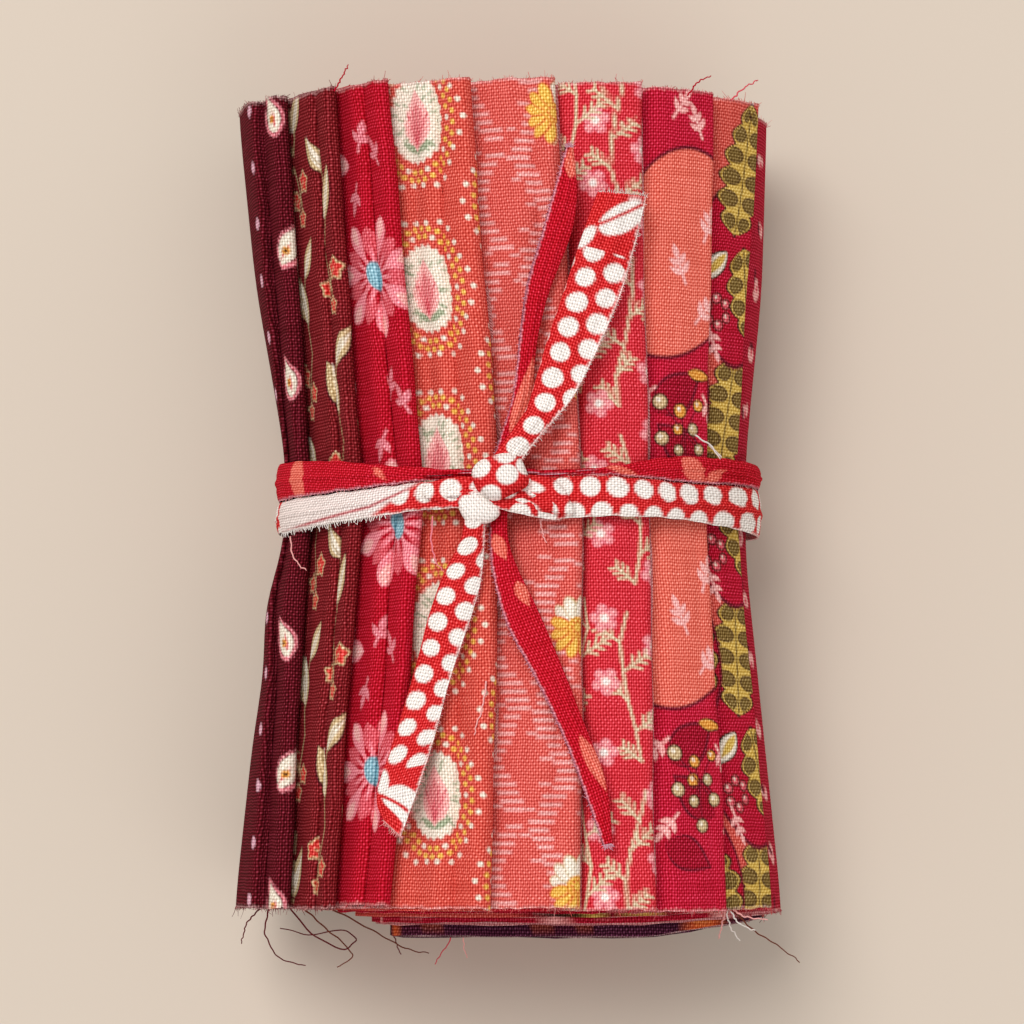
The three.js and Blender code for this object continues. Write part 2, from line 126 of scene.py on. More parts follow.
# How the tie draws the roll in: one row for each section along the bundle, in millimetres and parts of one.
SECTIONS = [
    {"y": -57.15, "shift": 0.45, "wide": 1.01, "tall": 1.0, "lift": 0.0},
    {"y": -32.0, "shift": 0.5, "wide": 0.945, "tall": 0.96, "lift": 0.0},
    {"y": -7.0, "shift": 1.5, "wide": 0.852, "tall": 0.86, "lift": 3.0},
    {"y": 7.0, "shift": 1.5, "wide": 0.852, "tall": 0.86, "lift": 3.0},
    {"y": 32.0, "shift": 0.5, "wide": 0.945, "tall": 0.96, "lift": 0.0},
    {"y": 57.15, "shift": -0.35, "wide": 0.99, "tall": 1.0, "lift": 0.0},
]


def linear(red, green, blue):
    """A screen colour, 0 to 255, as light."""
    part = np.array([red, green, blue]) / 255
    return np.where(part <= 0.04045, part / 12.92, ((part + 0.055) / 1.055) ** 2.4)


def from_screen(colour):
    """A colour picked on screen, 0 to 1, as light."""
    return linear(*(255 * np.array(colour)))


INK = {
    "cream": linear(238, 226, 208),
    "white": linear(241, 232, 226),
    "beige": linear(205, 176, 132),
    "ochre": linear(226, 150, 62),
    "yellow": linear(238, 186, 82),
    "pink": linear(240, 134, 146),
    "dusty_pink": linear(226, 172, 190),
    "pale_pink": linear(246, 176, 172),
    "rose": linear(216, 84, 96),
    "coral": linear(229, 105, 89),
    "scarlet": linear(208, 52, 48),
    "crimson": linear(178, 16, 42),
    "maroon": linear(106, 18, 34),
    "brown": linear(64, 34, 26),
    "umber": linear(118, 62, 46),
    "wine": linear(104, 34, 40),
    "mustard": linear(214, 176, 84),
    "olive": linear(122, 96, 48),
    "sage": linear(158, 168, 138),
    "blue": linear(142, 190, 206),
    "orange": linear(214, 92, 46),
    "wrong_side": linear(222, 178, 176),
    "plain_wrong_side": linear(206, 140, 156),
}


def soft_line(rows, key, column, at, blur=4.0):
    """A table's column between its rows, with its corners rounded."""
    places = np.array([row[key] for row in rows])
    values = np.array([row[column] for row in rows])
    offsets = np.linspace(-2, 2, 9)
    weights = np.exp(-(offsets**2) / 2)
    return sum(w * np.interp(at + o * blur, places, values) for o, w in zip(offsets, weights)) / weights.sum()


def waver(at, seed, *lengths):
    """A slow unevenness between -1 and 1 with the given wave lengths."""
    phases = np.random.default_rng(seed).uniform(0, 2 * np.pi, len(lengths))
    waves = [np.sin(2 * np.pi * at / length + phase) for length, phase in zip(lengths, phases)]
    return sum(waves) / len(lengths)


def bell(at, width, power=2):
    """A smooth hump of height 1 round zero."""
    return np.exp(-((at / width) ** power))


def raw_edge(distance, at, seed, start, width):
    """How pale a cloth is near its raw edge, from 1 at the edge to 0, with an uneven border."""
    fuzz = 0.6 + 0.4 * waver(at, seed, 0.7, 1.3, 2.9)
    return np.clip(start - distance / (width * fuzz), 0, 1)


class BundleSizes(bpy.types.PropertyGroup):
    """Sizes of the roll."""

    cut_length: FloatProperty(
        name="Cut length", description="Length of the cloths along the roll", default=0.1143, unit="LENGTH")
    packet: FloatProperty(
        name="Packet", description="Thickness of one folded cloth", default=0.00212, unit="LENGTH")
    packet_gap: FloatProperty(
        name="Packet gap", description="Gap between neighbouring cloths", default=0.0003, unit="LENGTH")
    layer: FloatProperty(
        name="Layer", description="Thickness of one layer of cloth", default=0.00042, unit="LENGTH")
    core_gap: FloatProperty(
        name="Core gap", description="Half of the slit in the middle of the roll", default=0.0008, unit="LENGTH")
    half_width: FloatProperty(
        name="Half width", description="Half of the roll's width at its ends", default=0.0391, unit="LENGTH")
    crown_drop: FloatProperty(
        name="Crown drop", description="Fall of the roll's top towards its sides", default=0.009, unit="LENGTH")
    splay: FloatProperty(
        name="Splay", description="How much wider the roll is at its base", default=0.06, subtype="FACTOR")
    warp_pitch: FloatProperty(
        name="Warp pitch", description="Spacing of the threads across the roll", default=0.000357, unit="LENGTH",
        precision=6)
    weft_pitch: FloatProperty(
        name="Weft pitch", description="Spacing of the threads along the roll", default=0.000437, unit="LENGTH",
        precision=6)
    strip: FloatProperty(
        name="Strip", description="Thickness of a tie strip", default=0.00026, unit="LENGTH")


def ground_colour(label, *screen):
    return FloatVectorProperty(
        name=label, description=f"Ground colour of the {label.lower()} cloth", subtype="COLOR_GAMMA", size=3,
        min=0, max=1, default=tuple(value / 255 for value in screen))


class BundleColours(bpy.types.PropertyGroup):
    """Ground colours of the cloths and the tie."""

    burgundy_dot: ground_colour("Burgundy dot", 86, 9, 20)
    maroon_leaf: ground_colour("Maroon leaf", 116, 21, 26)
    crimson_daisy: ground_colour("Crimson daisy", 176, 12, 32)
    coral_oval: ground_colour("Coral oval", 211, 78, 66)
    coral_dash: ground_colour("Coral dash", 216, 88, 80)
    red_twig: ground_colour("Red twig", 206, 44, 56)
    crimson_petal: ground_colour("Crimson petal", 186, 22, 48)
    mustard_leaf: ground_colour("Mustard leaf", 210, 82, 72)
    red_blossom: ground_colour("Red blossom", 172, 22, 44)
    plum_orange: ground_colour("Plum orange", 66, 22, 42)
    tie_dotted: ground_colour("Dotted tie", 206, 36, 38)
    tie_plain: ground_colour("Plain tie", 188, 14, 32)


class BundleStage(bpy.types.PropertyGroup):
    """Camera, floor and light."""

    distance: FloatProperty(
        name="Camera distance", description="From the camera to the top of the bundle", default=0.6, unit="LENGTH")
    elevation: FloatProperty(
        name="Camera elevation", description="Height of the camera above the horizon", default=math.radians(85.5),
        subtype="ANGLE")
    frame_width: FloatProperty(
        name="Frame width", description="Width of the picture at the top of the bundle", default=0.1408,
        unit="LENGTH")
    floor: FloatVectorProperty(
        name="Floor", description="Colour of the floor", subtype="COLOR_GAMMA", size=3, min=0, max=1,
        default=(0.835, 0.78, 0.72))
    key: FloatProperty(name="Key light", description="Power of the large soft light", default=21.0, unit="POWER")
    fill: FloatProperty(name="Fill light", description="Brightness of the room", default=0.55)


class RollForm:
    """The wound form: where a place round the roll lies in each section, in millimetres.

    A turn has four parts: left side upwards, top to the right, right side downwards and bottom to the left.
    """

    def __init__(self, sizes):
        self.cut = sizes.cut_length / MM
        self.packet = sizes.packet / MM
        self.layer = sizes.layer / MM
        self.pitch = self.packet + sizes.packet_gap / MM
        self.core = sizes.core_gap / MM
        self.radius = self.core + len(CLOTHS) * self.pitch
        self.half = sizes.half_width / MM
        self.flat = self.half - self.radius
        self.crown = sizes.crown_drop / MM
        self.splay = sizes.splay
        self.grid = np.linspace(-66, 66, 529)
        self.lines = {c: soft_line(SECTIONS, "y", c, self.grid) for c in ("shift", "wide", "tall", "lift")}
        self.folds = np.array([self.fold_line(cloth) for cloth in CLOTHS])
        self.top_table()

    def ray(self, place):
        part = np.mod(place, TURN)
        left, top, right = part < 1, part < 2, part < 3
        angle = np.pi * np.where(left, 1 - part, part - 2)
        foot = np.select([left, top, right], [-self.flat, self.flat * (2 * part - 3), self.flat],
                         self.flat * (7 - 2 * part))
        across = np.select([left, top, right], [-np.sin(angle), 0 * part, np.sin(angle)], 0 * part)
        up = np.select([left, top, right], [np.cos(angle), 0 * part + 1, np.cos(angle)], 0 * part - 1)
        return foot, across, up

    def point(self, y, place, reach):
        foot, across, up = self.ray(place)
        z = reach * up
        x = (foot + reach * across) * (1 - self.splay * z / self.radius)
        height = z + self.radius
        drop = self.crown * (x / self.half) ** 2 * height / (2 * self.radius)
        at = {column: np.interp(y, self.grid, line) for column, line in self.lines.items()}
        return at["shift"] + at["wide"] * x, at["lift"] + at["tall"] * (height - drop)

    def fold_line(self, cloth):
        """The places of a cloth's fold edge along the bundle."""
        if "round" in cloth:
            return np.full_like(self.grid, 2 + cloth["round"] / 180)
        rows = [{"y": y, "x": cloth[c]} for y, c in ((-self.cut / 2, "near"), (0, "waist"), (self.cut / 2, "far"))]
        stray = 0.22 * waver(self.grid, int(1000 + 10 * cloth["far"]), 23, 41, 67)
        x = soft_line(rows, "y", "x", self.grid) + stray
        low = np.full_like(x, 0.5)
        high = np.full_like(x, 2.5)
        for _ in range(40):
            middle = (low + high) / 2
            short = self.point(self.grid, middle, self.radius)[0] < x
            low = np.where(short, middle, low)
            high = np.where(short, high, middle)
        return low

    def fold(self, index, y):
        return np.interp(y, self.grid, self.folds[index])

    def bends(self, index):
        """The bends that a cloth follows from its inner end to its fold edge: (fold or None, place, passed)."""
        count = len(CLOTHS)
        later = [(j, -TURN, j + 1 - count) for j in range(index + 1, count)]
        corners = [(None, BOTTOM_RIGHT, 1), (None, BOTTOM_LEFT, 1)]
        return later + corners + [(j, 0, j + 1) for j in range(index + 1)]

    def bend_place(self, bend, y):
        fold, place, _ = bend
        return place + (0 * y if fold is None else self.fold(fold, y))

    def speed(self, index, y):
        """Millimetres round the roll for one step of place at a fold edge."""
        fold = self.fold(index, y)
        probe = 1e-3
        ax, az = self.point(y, fold, self.radius)
        bx, bz = self.point(y, fold - probe, self.radius)
        return np.hypot(ax - bx, az - bz) / probe

    def top_table(self):
        """A table of the top's height over places across and along."""
        self.top_y = np.linspace(-64, 64, 129)
        self.top_x = np.linspace(-36, 36, 145)
        places = np.linspace(0.55, 2.45, 400)
        rows = []
        for y in self.top_y:
            x, z = self.point(np.full_like(places, y), places, self.radius + 0 * places)
            rows.append(np.interp(self.top_x, x, z))
        self.top_z = np.array(rows)

    def top(self, x, y):
        """The height of the bundle's top at a place."""
        i = np.clip((y - self.top_y[0]) / (self.top_y[1] - self.top_y[0]), 0, len(self.top_y) - 1.001)
        j = np.clip((x - self.top_x[0]) / (self.top_x[1] - self.top_x[0]), 0, len(self.top_x) - 1.001)
        i0, j0 = i.astype(int), j.astype(int)
        s, t = i - i0, j - j0
        z = self.top_z
        return ((1 - s) * ((1 - t) * z[i0, j0] + t * z[i0, j0 + 1])
                + s * ((1 - t) * z[i0 + 1, j0] + t * z[i0 + 1, j0 + 1]))


class Cloth:
    """One cloth folded in half twice and wound round the roll: its stations along the folded sheet."""

    def __init__(self, form, index):
        self.form = form
        self.index = index
        self.row = CLOTHS[index]
        self.bends = form.bends(index)
        self.lengths = self.bend_lengths()
        self.stations()
        self.ends()

    def bend_lengths(self):
        lengths = []
        for a, b in zip(self.bends, self.bends[1:]):
            zero = np.zeros(24)
            place = np.linspace(self.form.bend_place(a, zero)[0], self.form.bend_place(b, zero)[0], 24)
            passed = np.linspace(a[2], b[2], 24)
            x, z = self.form.point(zero, place, self.reach(passed))
            lengths.append(float(np.hypot(np.diff(x), np.diff(z)).sum()))
        return lengths

    def reach(self, passed):
        return self.form.core + self.form.pitch * (len(CLOTHS) - self.index - 1 + passed)

    def run(self, fine):
        """Steps (bend, fraction) from the inner end to the fold edge, fine where the cloth shows."""
        first_shown = len(self.lengths) - 1
        if self.index == 0:
            first_shown = next(i for i, b in enumerate(self.bends) if b[0] == len(CLOTHS) - 1)
        steps = []
        for i, length in enumerate(self.lengths):
            last = i == len(self.lengths) - 1
            cuts = [(0.0, 1.0, COARSE["across"])]
            if fine and i >= first_shown:
                step = self.row["across"]
                cuts = [(0.0, 1.0, step)]
                if self.index == 0:
                    near = max(0.0, 1 - FINE_LENGTH / length) if last else 1.0
                    cuts = [(0.0, near, SIDE_STEP), (near, 1.0, step)]
            elif fine and i == first_shown - 1:
                near = max(0.0, 1 - HIDDEN_MARGIN / length)
                cuts = [(0.0, near, COARSE["across"]), (near, 1.0, HIDDEN_STEP)]
            for start, stop, step in cuts:
                if stop <= start:
                    continue
                count = max(1, math.ceil((stop - start) * length / step))
                if i >= first_shown - 1 and fine and self.shown_from is None and step < COARSE["across"]:
                    self.shown_from = len(steps)
                steps += [(i, start + (stop - start) * k / count) for k in range(count)]
        return steps + [(len(self.lengths) - 1, 1.0)]

    def stations(self):
        """Columns of stations: bend, fraction, distance past it, depth in the packet, share of the ridge and give."""
        packet, layer = self.form.packet, self.form.layer
        step = (packet - layer) / 3
        self.cap = (packet - layer) / 2
        self.shown_from = None
        plain = self.run(False)
        shown = self.run(True)
        last = len(self.lengths) - 1
        rows = [(i, t, 0.0, packet - layer / 2, 0.0, 0.0) for i, t in plain]
        turn = len(rows)
        caps = np.linspace(0, np.pi, FOLD_STEPS + 1)[1:-1][::-1]
        turns = np.linspace(0, np.pi, INNER_STEPS + 1)[1:-1]
        middle = packet / 2
        rows += [(last, 1.0, self.cap * math.sin(a), middle - self.cap * math.cos(a), (1 + math.cos(a)) / 2, 0.0)
                 for a in caps]
        self.cap_middle = turn + len(caps) // 2
        rows += [(i, t, 0.0, layer / 2, 1.0, 0.0) for i, t in reversed(shown)]
        self.shown = slice(turn + FOLD_HIDDEN, turn + len(caps) + len(shown) - self.shown_from)
        rows += [(0, 0.0, -step / 2 * math.sin(a), layer / 2 + step / 2 * (1 - math.cos(a)), 0.0, 0.0) for a in turns]
        rows += [(i, t, 0.0, layer / 2 + step, 0.0, GIVE["second"]) for i, t in plain]
        rows += [(last, 1.0, step / 2 * math.sin(a), layer / 2 + step * 1.5 - step / 2 * math.cos(a), 0.0,
                  GIVE["fold"]) for a in turns]
        rows += [(i, t, 0.0, layer / 2 + 2 * step, 0.0, GIVE["third"]) for i, t in reversed(plain)]
        columns = np.array(rows)
        self.bend_at = columns[:, 0].astype(int)
        self.part = columns[:, 1]
        self.past = columns[:, 2]
        self.depth = columns[:, 3]
        self.ridge = columns[:, 4]
        self.give = columns[:, 5]

    def section(self, y, pick=slice(None)):
        """Across and up of the picked stations, at a place along the bundle for each."""
        form = self.form
        bend_at = self.bend_at[pick]
        places = np.array([np.broadcast_to(form.bend_place(b, y), y.shape) for b in self.bends])
        low = np.take_along_axis(places, np.broadcast_to(bend_at[:, None], y.shape)[None], 0)[0]
        high = np.take_along_axis(places, np.broadcast_to(bend_at[:, None] + 1, y.shape)[None], 0)[0]
        passed = np.array([b[2] for b in self.bends], float)
        fold = form.fold(self.index, y)
        speed = form.speed(self.index, y)
        last = (bend_at == len(self.lengths) - 1)[:, None]
        stop = np.where(last, fold - self.cap / speed, high)
        place = low + (stop - low) * self.part[pick][:, None]
        gone = (place - low) / (high - low)
        count = passed[bend_at][:, None] + (passed[bend_at + 1] - passed[bend_at])[:, None] * gone
        place = place + self.past[pick][:, None] / speed
        back = np.maximum(0, (fold - place) * speed - self.cap * 0.5)
        ridge = self.ridge[pick][:, None]
        lift = ridge * self.relief(y, back, place, speed) - self.give[pick][:, None] * bell(back, GIVE["width"], 4)
        out = 0 * y
        if self.index == 0:
            side = np.clip((place - 0.1) / 0.4, 0, 1) * np.clip((1.5 - place) / 0.4, 0, 1)
            out = BULGE["out"] * ridge * side * bell(y - BULGE["y"], BULGE["length"])
        x, z = form.point(y, place, self.reach(count) - self.depth[pick][:, None] + out)
        return x, z + lift

    def relief(self, y, back, place, speed):
        """How far the cloth rises at its fold edge, and sinks in the groove beside it and under the next edge."""
        row = self.row
        slack = 1 + EDGE["slack"] * waver(y, 40 + self.index, 31, 17, 52)
        pressed = 1 - EDGE["pressed"] * bell(y, EDGE["pressed_length"])
        hump = 0.5 + 0.5 * np.cos(np.pi * np.clip((back / row["ridge"] - EDGE["top"]) / EDGE["fall"], -1, 1))
        beside = back - EDGE["groove"] * row["ridge"] - EDGE["stray"] * waver(y, 50 + self.index, 27, 44)
        groove = (EDGE["sharp"] * bell(beside, EDGE["sharp_width"])
                  + EDGE["broad"] * bell(beside + EDGE["broad_back"], EDGE["broad_width"]))
        pillow = EDGE["pillow"] * bell(beside - EDGE["pillow_past"], EDGE["pillow_width"])
        soft = EDGE["soft"] * waver(y + back, 70 + self.index, 19, 33) * bell(back, EDGE["soft_width"])
        lift = row["rise"] * hump * slack * pressed - row["groove"] * (groove - pillow) + soft
        if self.index == 0:
            far = back - SECOND_ROLL["back"]
            width = np.where(far > 0, SECOND_ROLL["inside"], SECOND_ROLL["outside"])
            return lift + SECOND_ROLL["rise"] * np.cos(np.pi / 2 * np.clip(far / width, -1, 1)) ** 2
        past = (place - self.form.fold(self.index - 1, y)) * speed
        return lift - TROUGH["depth"] * bell(past - TROUGH["past"], TROUGH["width"])

    def ends(self):
        """Where each station's raw ends lie along the bundle."""
        row, half = self.row, self.form.cut / 2
        count = len(self.part)
        edge = row.get("far", self.form.half)
        found = []
        for sign in (-1, 1):
            y = np.full((count, 1), sign * half)
            x = self.section(y)[0][:, 0]
            deep = np.clip((edge - x) / STAND_SPREAD, 0, 1)
            stand = row["out"] + (row["deep"] - row["out"]) * deep
            arc = np.arange(count) * 0.37 + 5 * x
            frayed = END_WAVER * waver(arc, 90 + self.index + sign, 7, 13, 29)
            layer = LAYER_WAVER * waver(self.depth * 9 + self.index, 120 + sign, 3.1, 7.7)
            found.append(sign * half + stand + frayed + layer)
        self.near, self.far = found

    def surface(self, along, side, pick=slice(None)):
        """Points (stations by rows along the bundle) of the printed side (1) or the wrong side (-1)."""
        pad = slice(max(0, (pick.start or 0) - 1), min(len(self.part), (pick.stop or len(self.part)) + 1))
        t = along[None, :]
        y = self.near[pad][:, None] * (1 - t) + self.far[pad][:, None] * t
        x, z = self.section(y, pad)
        dx, dz = np.gradient(x, axis=0), np.gradient(z, axis=0)
        size = np.maximum(np.hypot(dx, dz), 1e-9)
        steps = np.hypot(np.diff(x, axis=0), np.diff(z, axis=0))
        arc = np.concatenate([np.zeros((1, y.shape[1])), np.cumsum(steps, 0)])
        arc = arc - arc[self.cap_middle - pad.start]
        thick = side * self.form.layer / 2
        points = np.stack([x + dz / size * thick, y, z - dx / size * thick], -1)
        cut = slice((pick.start or 0) - pad.start, (pick.start or 0) - pad.start + len(self.part[pick]))
        return points[cut], np.stack([arc[cut], y[cut]], -1)


class MeshParts:
    """Grids of points gathered into one mesh, with their flat cloth coordinates in millimetres."""

    def __init__(self):
        self.points, self.quads, self.flat, self.wrong = [], [], [], []
        self.count = 0

    def grid(self, points, flat, wrong=0.0, turned=False, closed=False):
        n, m = points.shape[:2]
        index = self.count + np.arange(n * m).reshape(n, m)
        if closed:
            index = np.concatenate([index, index[:1]])
        quads = np.stack([index[:-1, :-1], index[1:, :-1], index[1:, 1:], index[:-1, 1:]], -1).reshape(-1, 4)
        self.quads.append(quads[:, ::-1] if turned else quads)
        self.points.append(points.reshape(-1, 3))
        self.flat.append(flat.reshape(-1, 2))
        self.wrong.append(np.broadcast_to(wrong, (n, m)).reshape(-1))
        self.count += n * m

    def gathered(self):
        return (np.concatenate(self.points), np.concatenate(self.quads), np.concatenate(self.flat),
                np.concatenate(self.wrong))


def make_object(name, points, quads, flat, colours, material):
    """A mesh object in metres from points in millimetres."""
    mesh = bpy.data.meshes.new(name)
    place = (points - np.array([CENTRE[0], CENTRE[1], 0])) * MM
    mesh.vertices.add(len(place))
    mesh.vertices.foreach_set("co", place.astype(np.float32).ravel())
    mesh.loops.add(quads.size)
    mesh.loops.foreach_set("vertex_index", quads.astype(np.int32).ravel())
    mesh.polygons.add(len(quads))
    mesh.polygons.foreach_set("loop_start", np.arange(0, quads.size, 4, dtype=np.int32))
    mesh.polygons.foreach_set("use_smooth", np.ones(len(quads), bool))
    mesh.update(calc_edges=True)
    layer = mesh.uv_layers.new(name="cloth")
    layer.data.foreach_set("uv", (flat[quads.ravel()] * MM).astype(np.float32).ravel())
    shade = mesh.attributes.new("print", "FLOAT_COLOR", "POINT")
    rgba = np.ones((len(points), 4), np.float32)
    rgba[:, :3] = np.clip(colours, 0, 1)
    shade.data.foreach_set("color", rgba.ravel())
    mesh.materials.append(material)
    made = bpy.data.objects.new(name, mesh)
    bpy.context.scene.collection.objects.link(made)
    return made


class Chart:
    """The printed colours of a cloth at points of its flat coordinates, in millimetres."""

    def __init__(self, flat, ground):
        self.u, self.v = flat[:, 0], flat[:, 1]
        self.order = np.argsort(self.v)
        self.sorted_v = self.v[self.order]
        self.ground = np.asarray(ground, float)
        self.rgb = np.repeat(self.ground[None], len(flat), 0)

    def near(self, u, v, reach):
        """The points near a place and their distances from it across and along."""
        first, last = np.searchsorted(self.sorted_v, (v - reach, v + reach))
        found = self.order[first:last]
        found = found[np.abs(self.u[found] - u) < reach]
        return found, self.u[found] - u, self.v[found] - v

    def ink(self, found, distance, colour, soft=0.22, weight=1.0):
        """Prints a colour where the distance is below zero, with a soft border."""
        cover = (weight * np.clip(0.5 - distance / soft, 0, 1))[:, None]
        self.rgb[found] += (colour - self.rgb[found]) * cover

    def dot(self, u, v, radius, colour, weight=1.0):
        found, a, b = self.near(u, v, radius + 1)
        self.ink(found, np.hypot(a, b) - radius, colour, weight=weight)

    def oval(self, u, v, long, wide, turn, colour, soft=0.22):
        found, a, b = self.near(u, v, long + 1)
        self.ink(found, oval(a, b, long, wide, turn), colour, soft)

    def leaf(self, u, v, turn, length, width, colour):
        found, a, b = self.near(u, v, length + 1)
        self.ink(found, leaf(a, b, turn, length, width), colour)

    def stroke(self, u0, v0, u1, v1, width, colour):
        reach = math.hypot(u1 - u0, v1 - v0) / 2 + width + 0.5
        found, a, b = self.near((u0 + u1) / 2, (v0 + v1) / 2, reach)
        du, dv = (u1 - u0) / 2, (v1 - v0) / 2
        t = np.clip((a * du + b * dv) / (du * du + dv * dv), -1, 1)
        self.ink(found, np.hypot(a - t * du, b - t * dv) - width / 2, colour)

    def dash(self, u, v, half, width, colour):
        """A short line across, fading at its tips."""
        found, a, b = self.near(u, v, half + 0.6)
        self.ink(found, np.maximum(np.abs(b) - width, (np.abs(a) - half) * 0.5), colour, 0.3)

    def petals(self, u, v, count, inner, outer, width, turn, colour, blunt=0.7):
        found, a, b = self.near(u, v, outer + 1)
        self.ink(found, petals(a, b, count, inner, outer, width, turn, blunt), colour)


def turned(a, b, turn):
    """Distances along and beside a direction."""
    return a * math.cos(turn) + b * math.sin(turn), b * math.cos(turn) - a * math.sin(turn)


def oval(a, b, long, wide, turn):
    """How far points lie outside an oval, below zero inside it."""
    p, q = turned(a, b, turn)
    return (np.hypot(p / long, q / wide) - 1) * min(long, wide)


def leaf(a, b, turn, length, width):
    """How far points lie outside a leaf that starts at zero."""
    p, q = turned(a, b, turn)
    t = np.clip(p / length, 0, 1)
    half = width / 2 * np.sin(np.pi * t**0.8)
    return np.maximum(np.abs(q) - half, np.abs(p - length / 2) - length / 2)


def petals(a, b, count, inner, outer, width, turn, blunt):
    """How far points lie outside a ring of petals."""
    angle = np.arctan2(b, a) - turn
    sector = 2 * np.pi / count
    angle = angle - sector * np.round(angle / sector)
    r = np.hypot(a, b)
    p, q = r * np.cos(angle), r * np.sin(angle)
    t = np.clip((p - inner) / (outer - inner), 0, 1)
    half = width / 2 * np.sin(np.pi * t**blunt) ** 0.8
    return np.maximum(np.abs(q) - half, np.maximum(inner - p, p - outer))


def rows_along(first, step, reach=62.0):
    """Places along the roll, a step apart, through the first."""
    start = first - step * math.floor((first + reach) / step)
    return np.arange(start, reach, step)


def print_burgundy_dot(chart):
    """Pale dots in columns, and drops with an ochre eye."""
    for column in range(-1, 9):
        for v in rows_along(4.0 * (column % 2), 8.0):
            chart.dot(9.6 + 12.0 * column, v, 0.85, INK["dusty_pink"])
    for column in range(-1, 4):
        for n, v in enumerate(rows_along(33.0 + 9 * column, 18.5)):
            u = 1.4 + 24.0 * column + 0.5 * (n % 2)
            lean = math.radians(70 + 45 * (n % 2))
            chart.leaf(u, v, lean, 7.0, 4.6, INK["pink"] * 0.9)
            chart.leaf(u, v + 0.5, lean, 6.0, 3.5, INK["maroon"])
            chart.leaf(u, v + 0.6, lean, 5.6, 3.0, INK["cream"])
            chart.leaf(u, v + 1.3, lean + 0.2, 2.8, 0.5, INK["rose"])
            chart.dot(u + 2.2 * math.cos(lean), v + 2.2 * math.sin(lean) + 0.5, 0.62, INK["ochre"])
            chart.dot(u + 2.2 * math.cos(lean), v + 2.2 * math.sin(lean) + 0.5, 0.26, INK["brown"])


def sprig(chart, u, v, turn, length, colour, pairs, leaf_size, width):
    """A stem with paired leaves."""
    du, dv = math.cos(turn), math.sin(turn)
    chart.stroke(u, v, u + length * du, v + length * dv, width, colour)
    for k in range(pairs):
        t = (k + 1) / (pairs + 0.6)
        for side in (-1, 1):
            chart.leaf(u + t * length * du, v + t * length * dv, turn + side * 0.85,
                       leaf_size * (1.15 - 0.4 * t), leaf_size * 0.42, colour)
    chart.leaf(u + length * du, v + length * dv, turn, leaf_size, leaf_size * 0.45, colour)


def print_maroon_leaf(chart):
    """Large beige leaves on wandering stems, with coral buds."""
    stem = INK["beige"] * 0.6 + INK["olive"] * 0.3
    for column in range(-1, 4):
        for n, v in enumerate(rows_along(41 + 13 * column, 27.0)):
            u = 4.2 + 8.6 * column
            way = 1 if (n + column) % 2 else -1
            points = [(u - 1.0 * way, v - 12), (u + 1.2 * way, v - 6), (u - 0.6 * way, v), (u + 1.0 * way, v + 7)]
            for a, b in zip(points, points[1:]):
                chart.stroke(*a, *b, 0.3, stem)
            for du, dv, lean, size in ((0.4, -2.0, 1.9, 8.0), (0.8, 4.5, 1.0, 6.6)):
                turn = lean if way > 0 else math.pi - lean
                chart.leaf(u + du * way, v + dv, turn, size, size * 0.46, INK["maroon"] * 0.5)
                chart.leaf(u + du * way, v + dv + 0.15, turn, size * 0.95, size * 0.38, INK["beige"])
                chart.leaf(u + du * way + 0.3, v + dv + 0.3, turn + 0.12, size * 0.85, size * 0.17, INK["cream"])
                chart.stroke(u + du * way, v + dv, u + du * way + 0.8 * size * math.cos(turn),
                             v + dv + 0.8 * size * math.sin(turn), 0.2, stem)
            for du, dv, size in ((-2.2, -9.0, 1.5), (0.9, -11.5, 1.3), (-1.0, -14.0, 1.2)):
                chart.petals(u + du * way, v + dv, 5, 0.1, size + 0.3, size, 0.4, INK["beige"])
                chart.petals(u + du * way, v + dv, 5, 0.1, size, size * 0.7, 0.4, INK["scarlet"])
                chart.dot(u + du * way, v + dv, 0.35, INK["coral"])
                chart.stroke(u - 0.6 * way, v - 10.5, u + du * way, v + dv, 0.22, stem)


def daisy(chart, u, v, size, turn):
    """A daisy with spear-shaped petals, long and short in turn."""
    chart.petals(u, v, 7, 0.22 * size, size, 0.34 * size, turn, INK["pink"], 1.7)
    chart.petals(u, v, 7, 0.22 * size, 0.8 * size, 0.26 * size, turn + math.pi / 7, INK["rose"], 1.5)
    chart.petals(u, v, 7, 0.6 * size, 0.97 * size, 0.2 * size, turn, INK["pale_pink"], 1.2)
    chart.petals(u, v, 14, 0.12 * size, 0.5 * size, 0.06 * size, turn, INK["pink"])
    chart.oval(u, v, 0.25 * size, 0.17 * size, 1.2, INK["blue"] * 0.8)
    chart.oval(u + 0.05, v + 0.1, 0.17 * size, 0.1 * size, 1.2, INK["blue"])


def print_crimson_daisy(chart):
    """Daisies with spear-shaped petals, and pink sprigs between them."""
    for column in range(-1, 3):
        for n, v in enumerate(rows_along(30.5 + 17.2 * column, 34.4)):
            u = 5.4 + 15.5 * column + 0.9 * (-1) ** n
            daisy(chart, u, v, 9.2 if n % 2 else 8.6, 0.5 * n)
            for du, dv, turn in ((1.6, 17.4, 1.9), (-3.0, 15.2, 1.1), (2.4, 13.0, 5.0)):
                sprig(chart, u + du, v + dv, turn, 2.2, INK["pink"] * 0.85, 1, 2.4, 0.4)


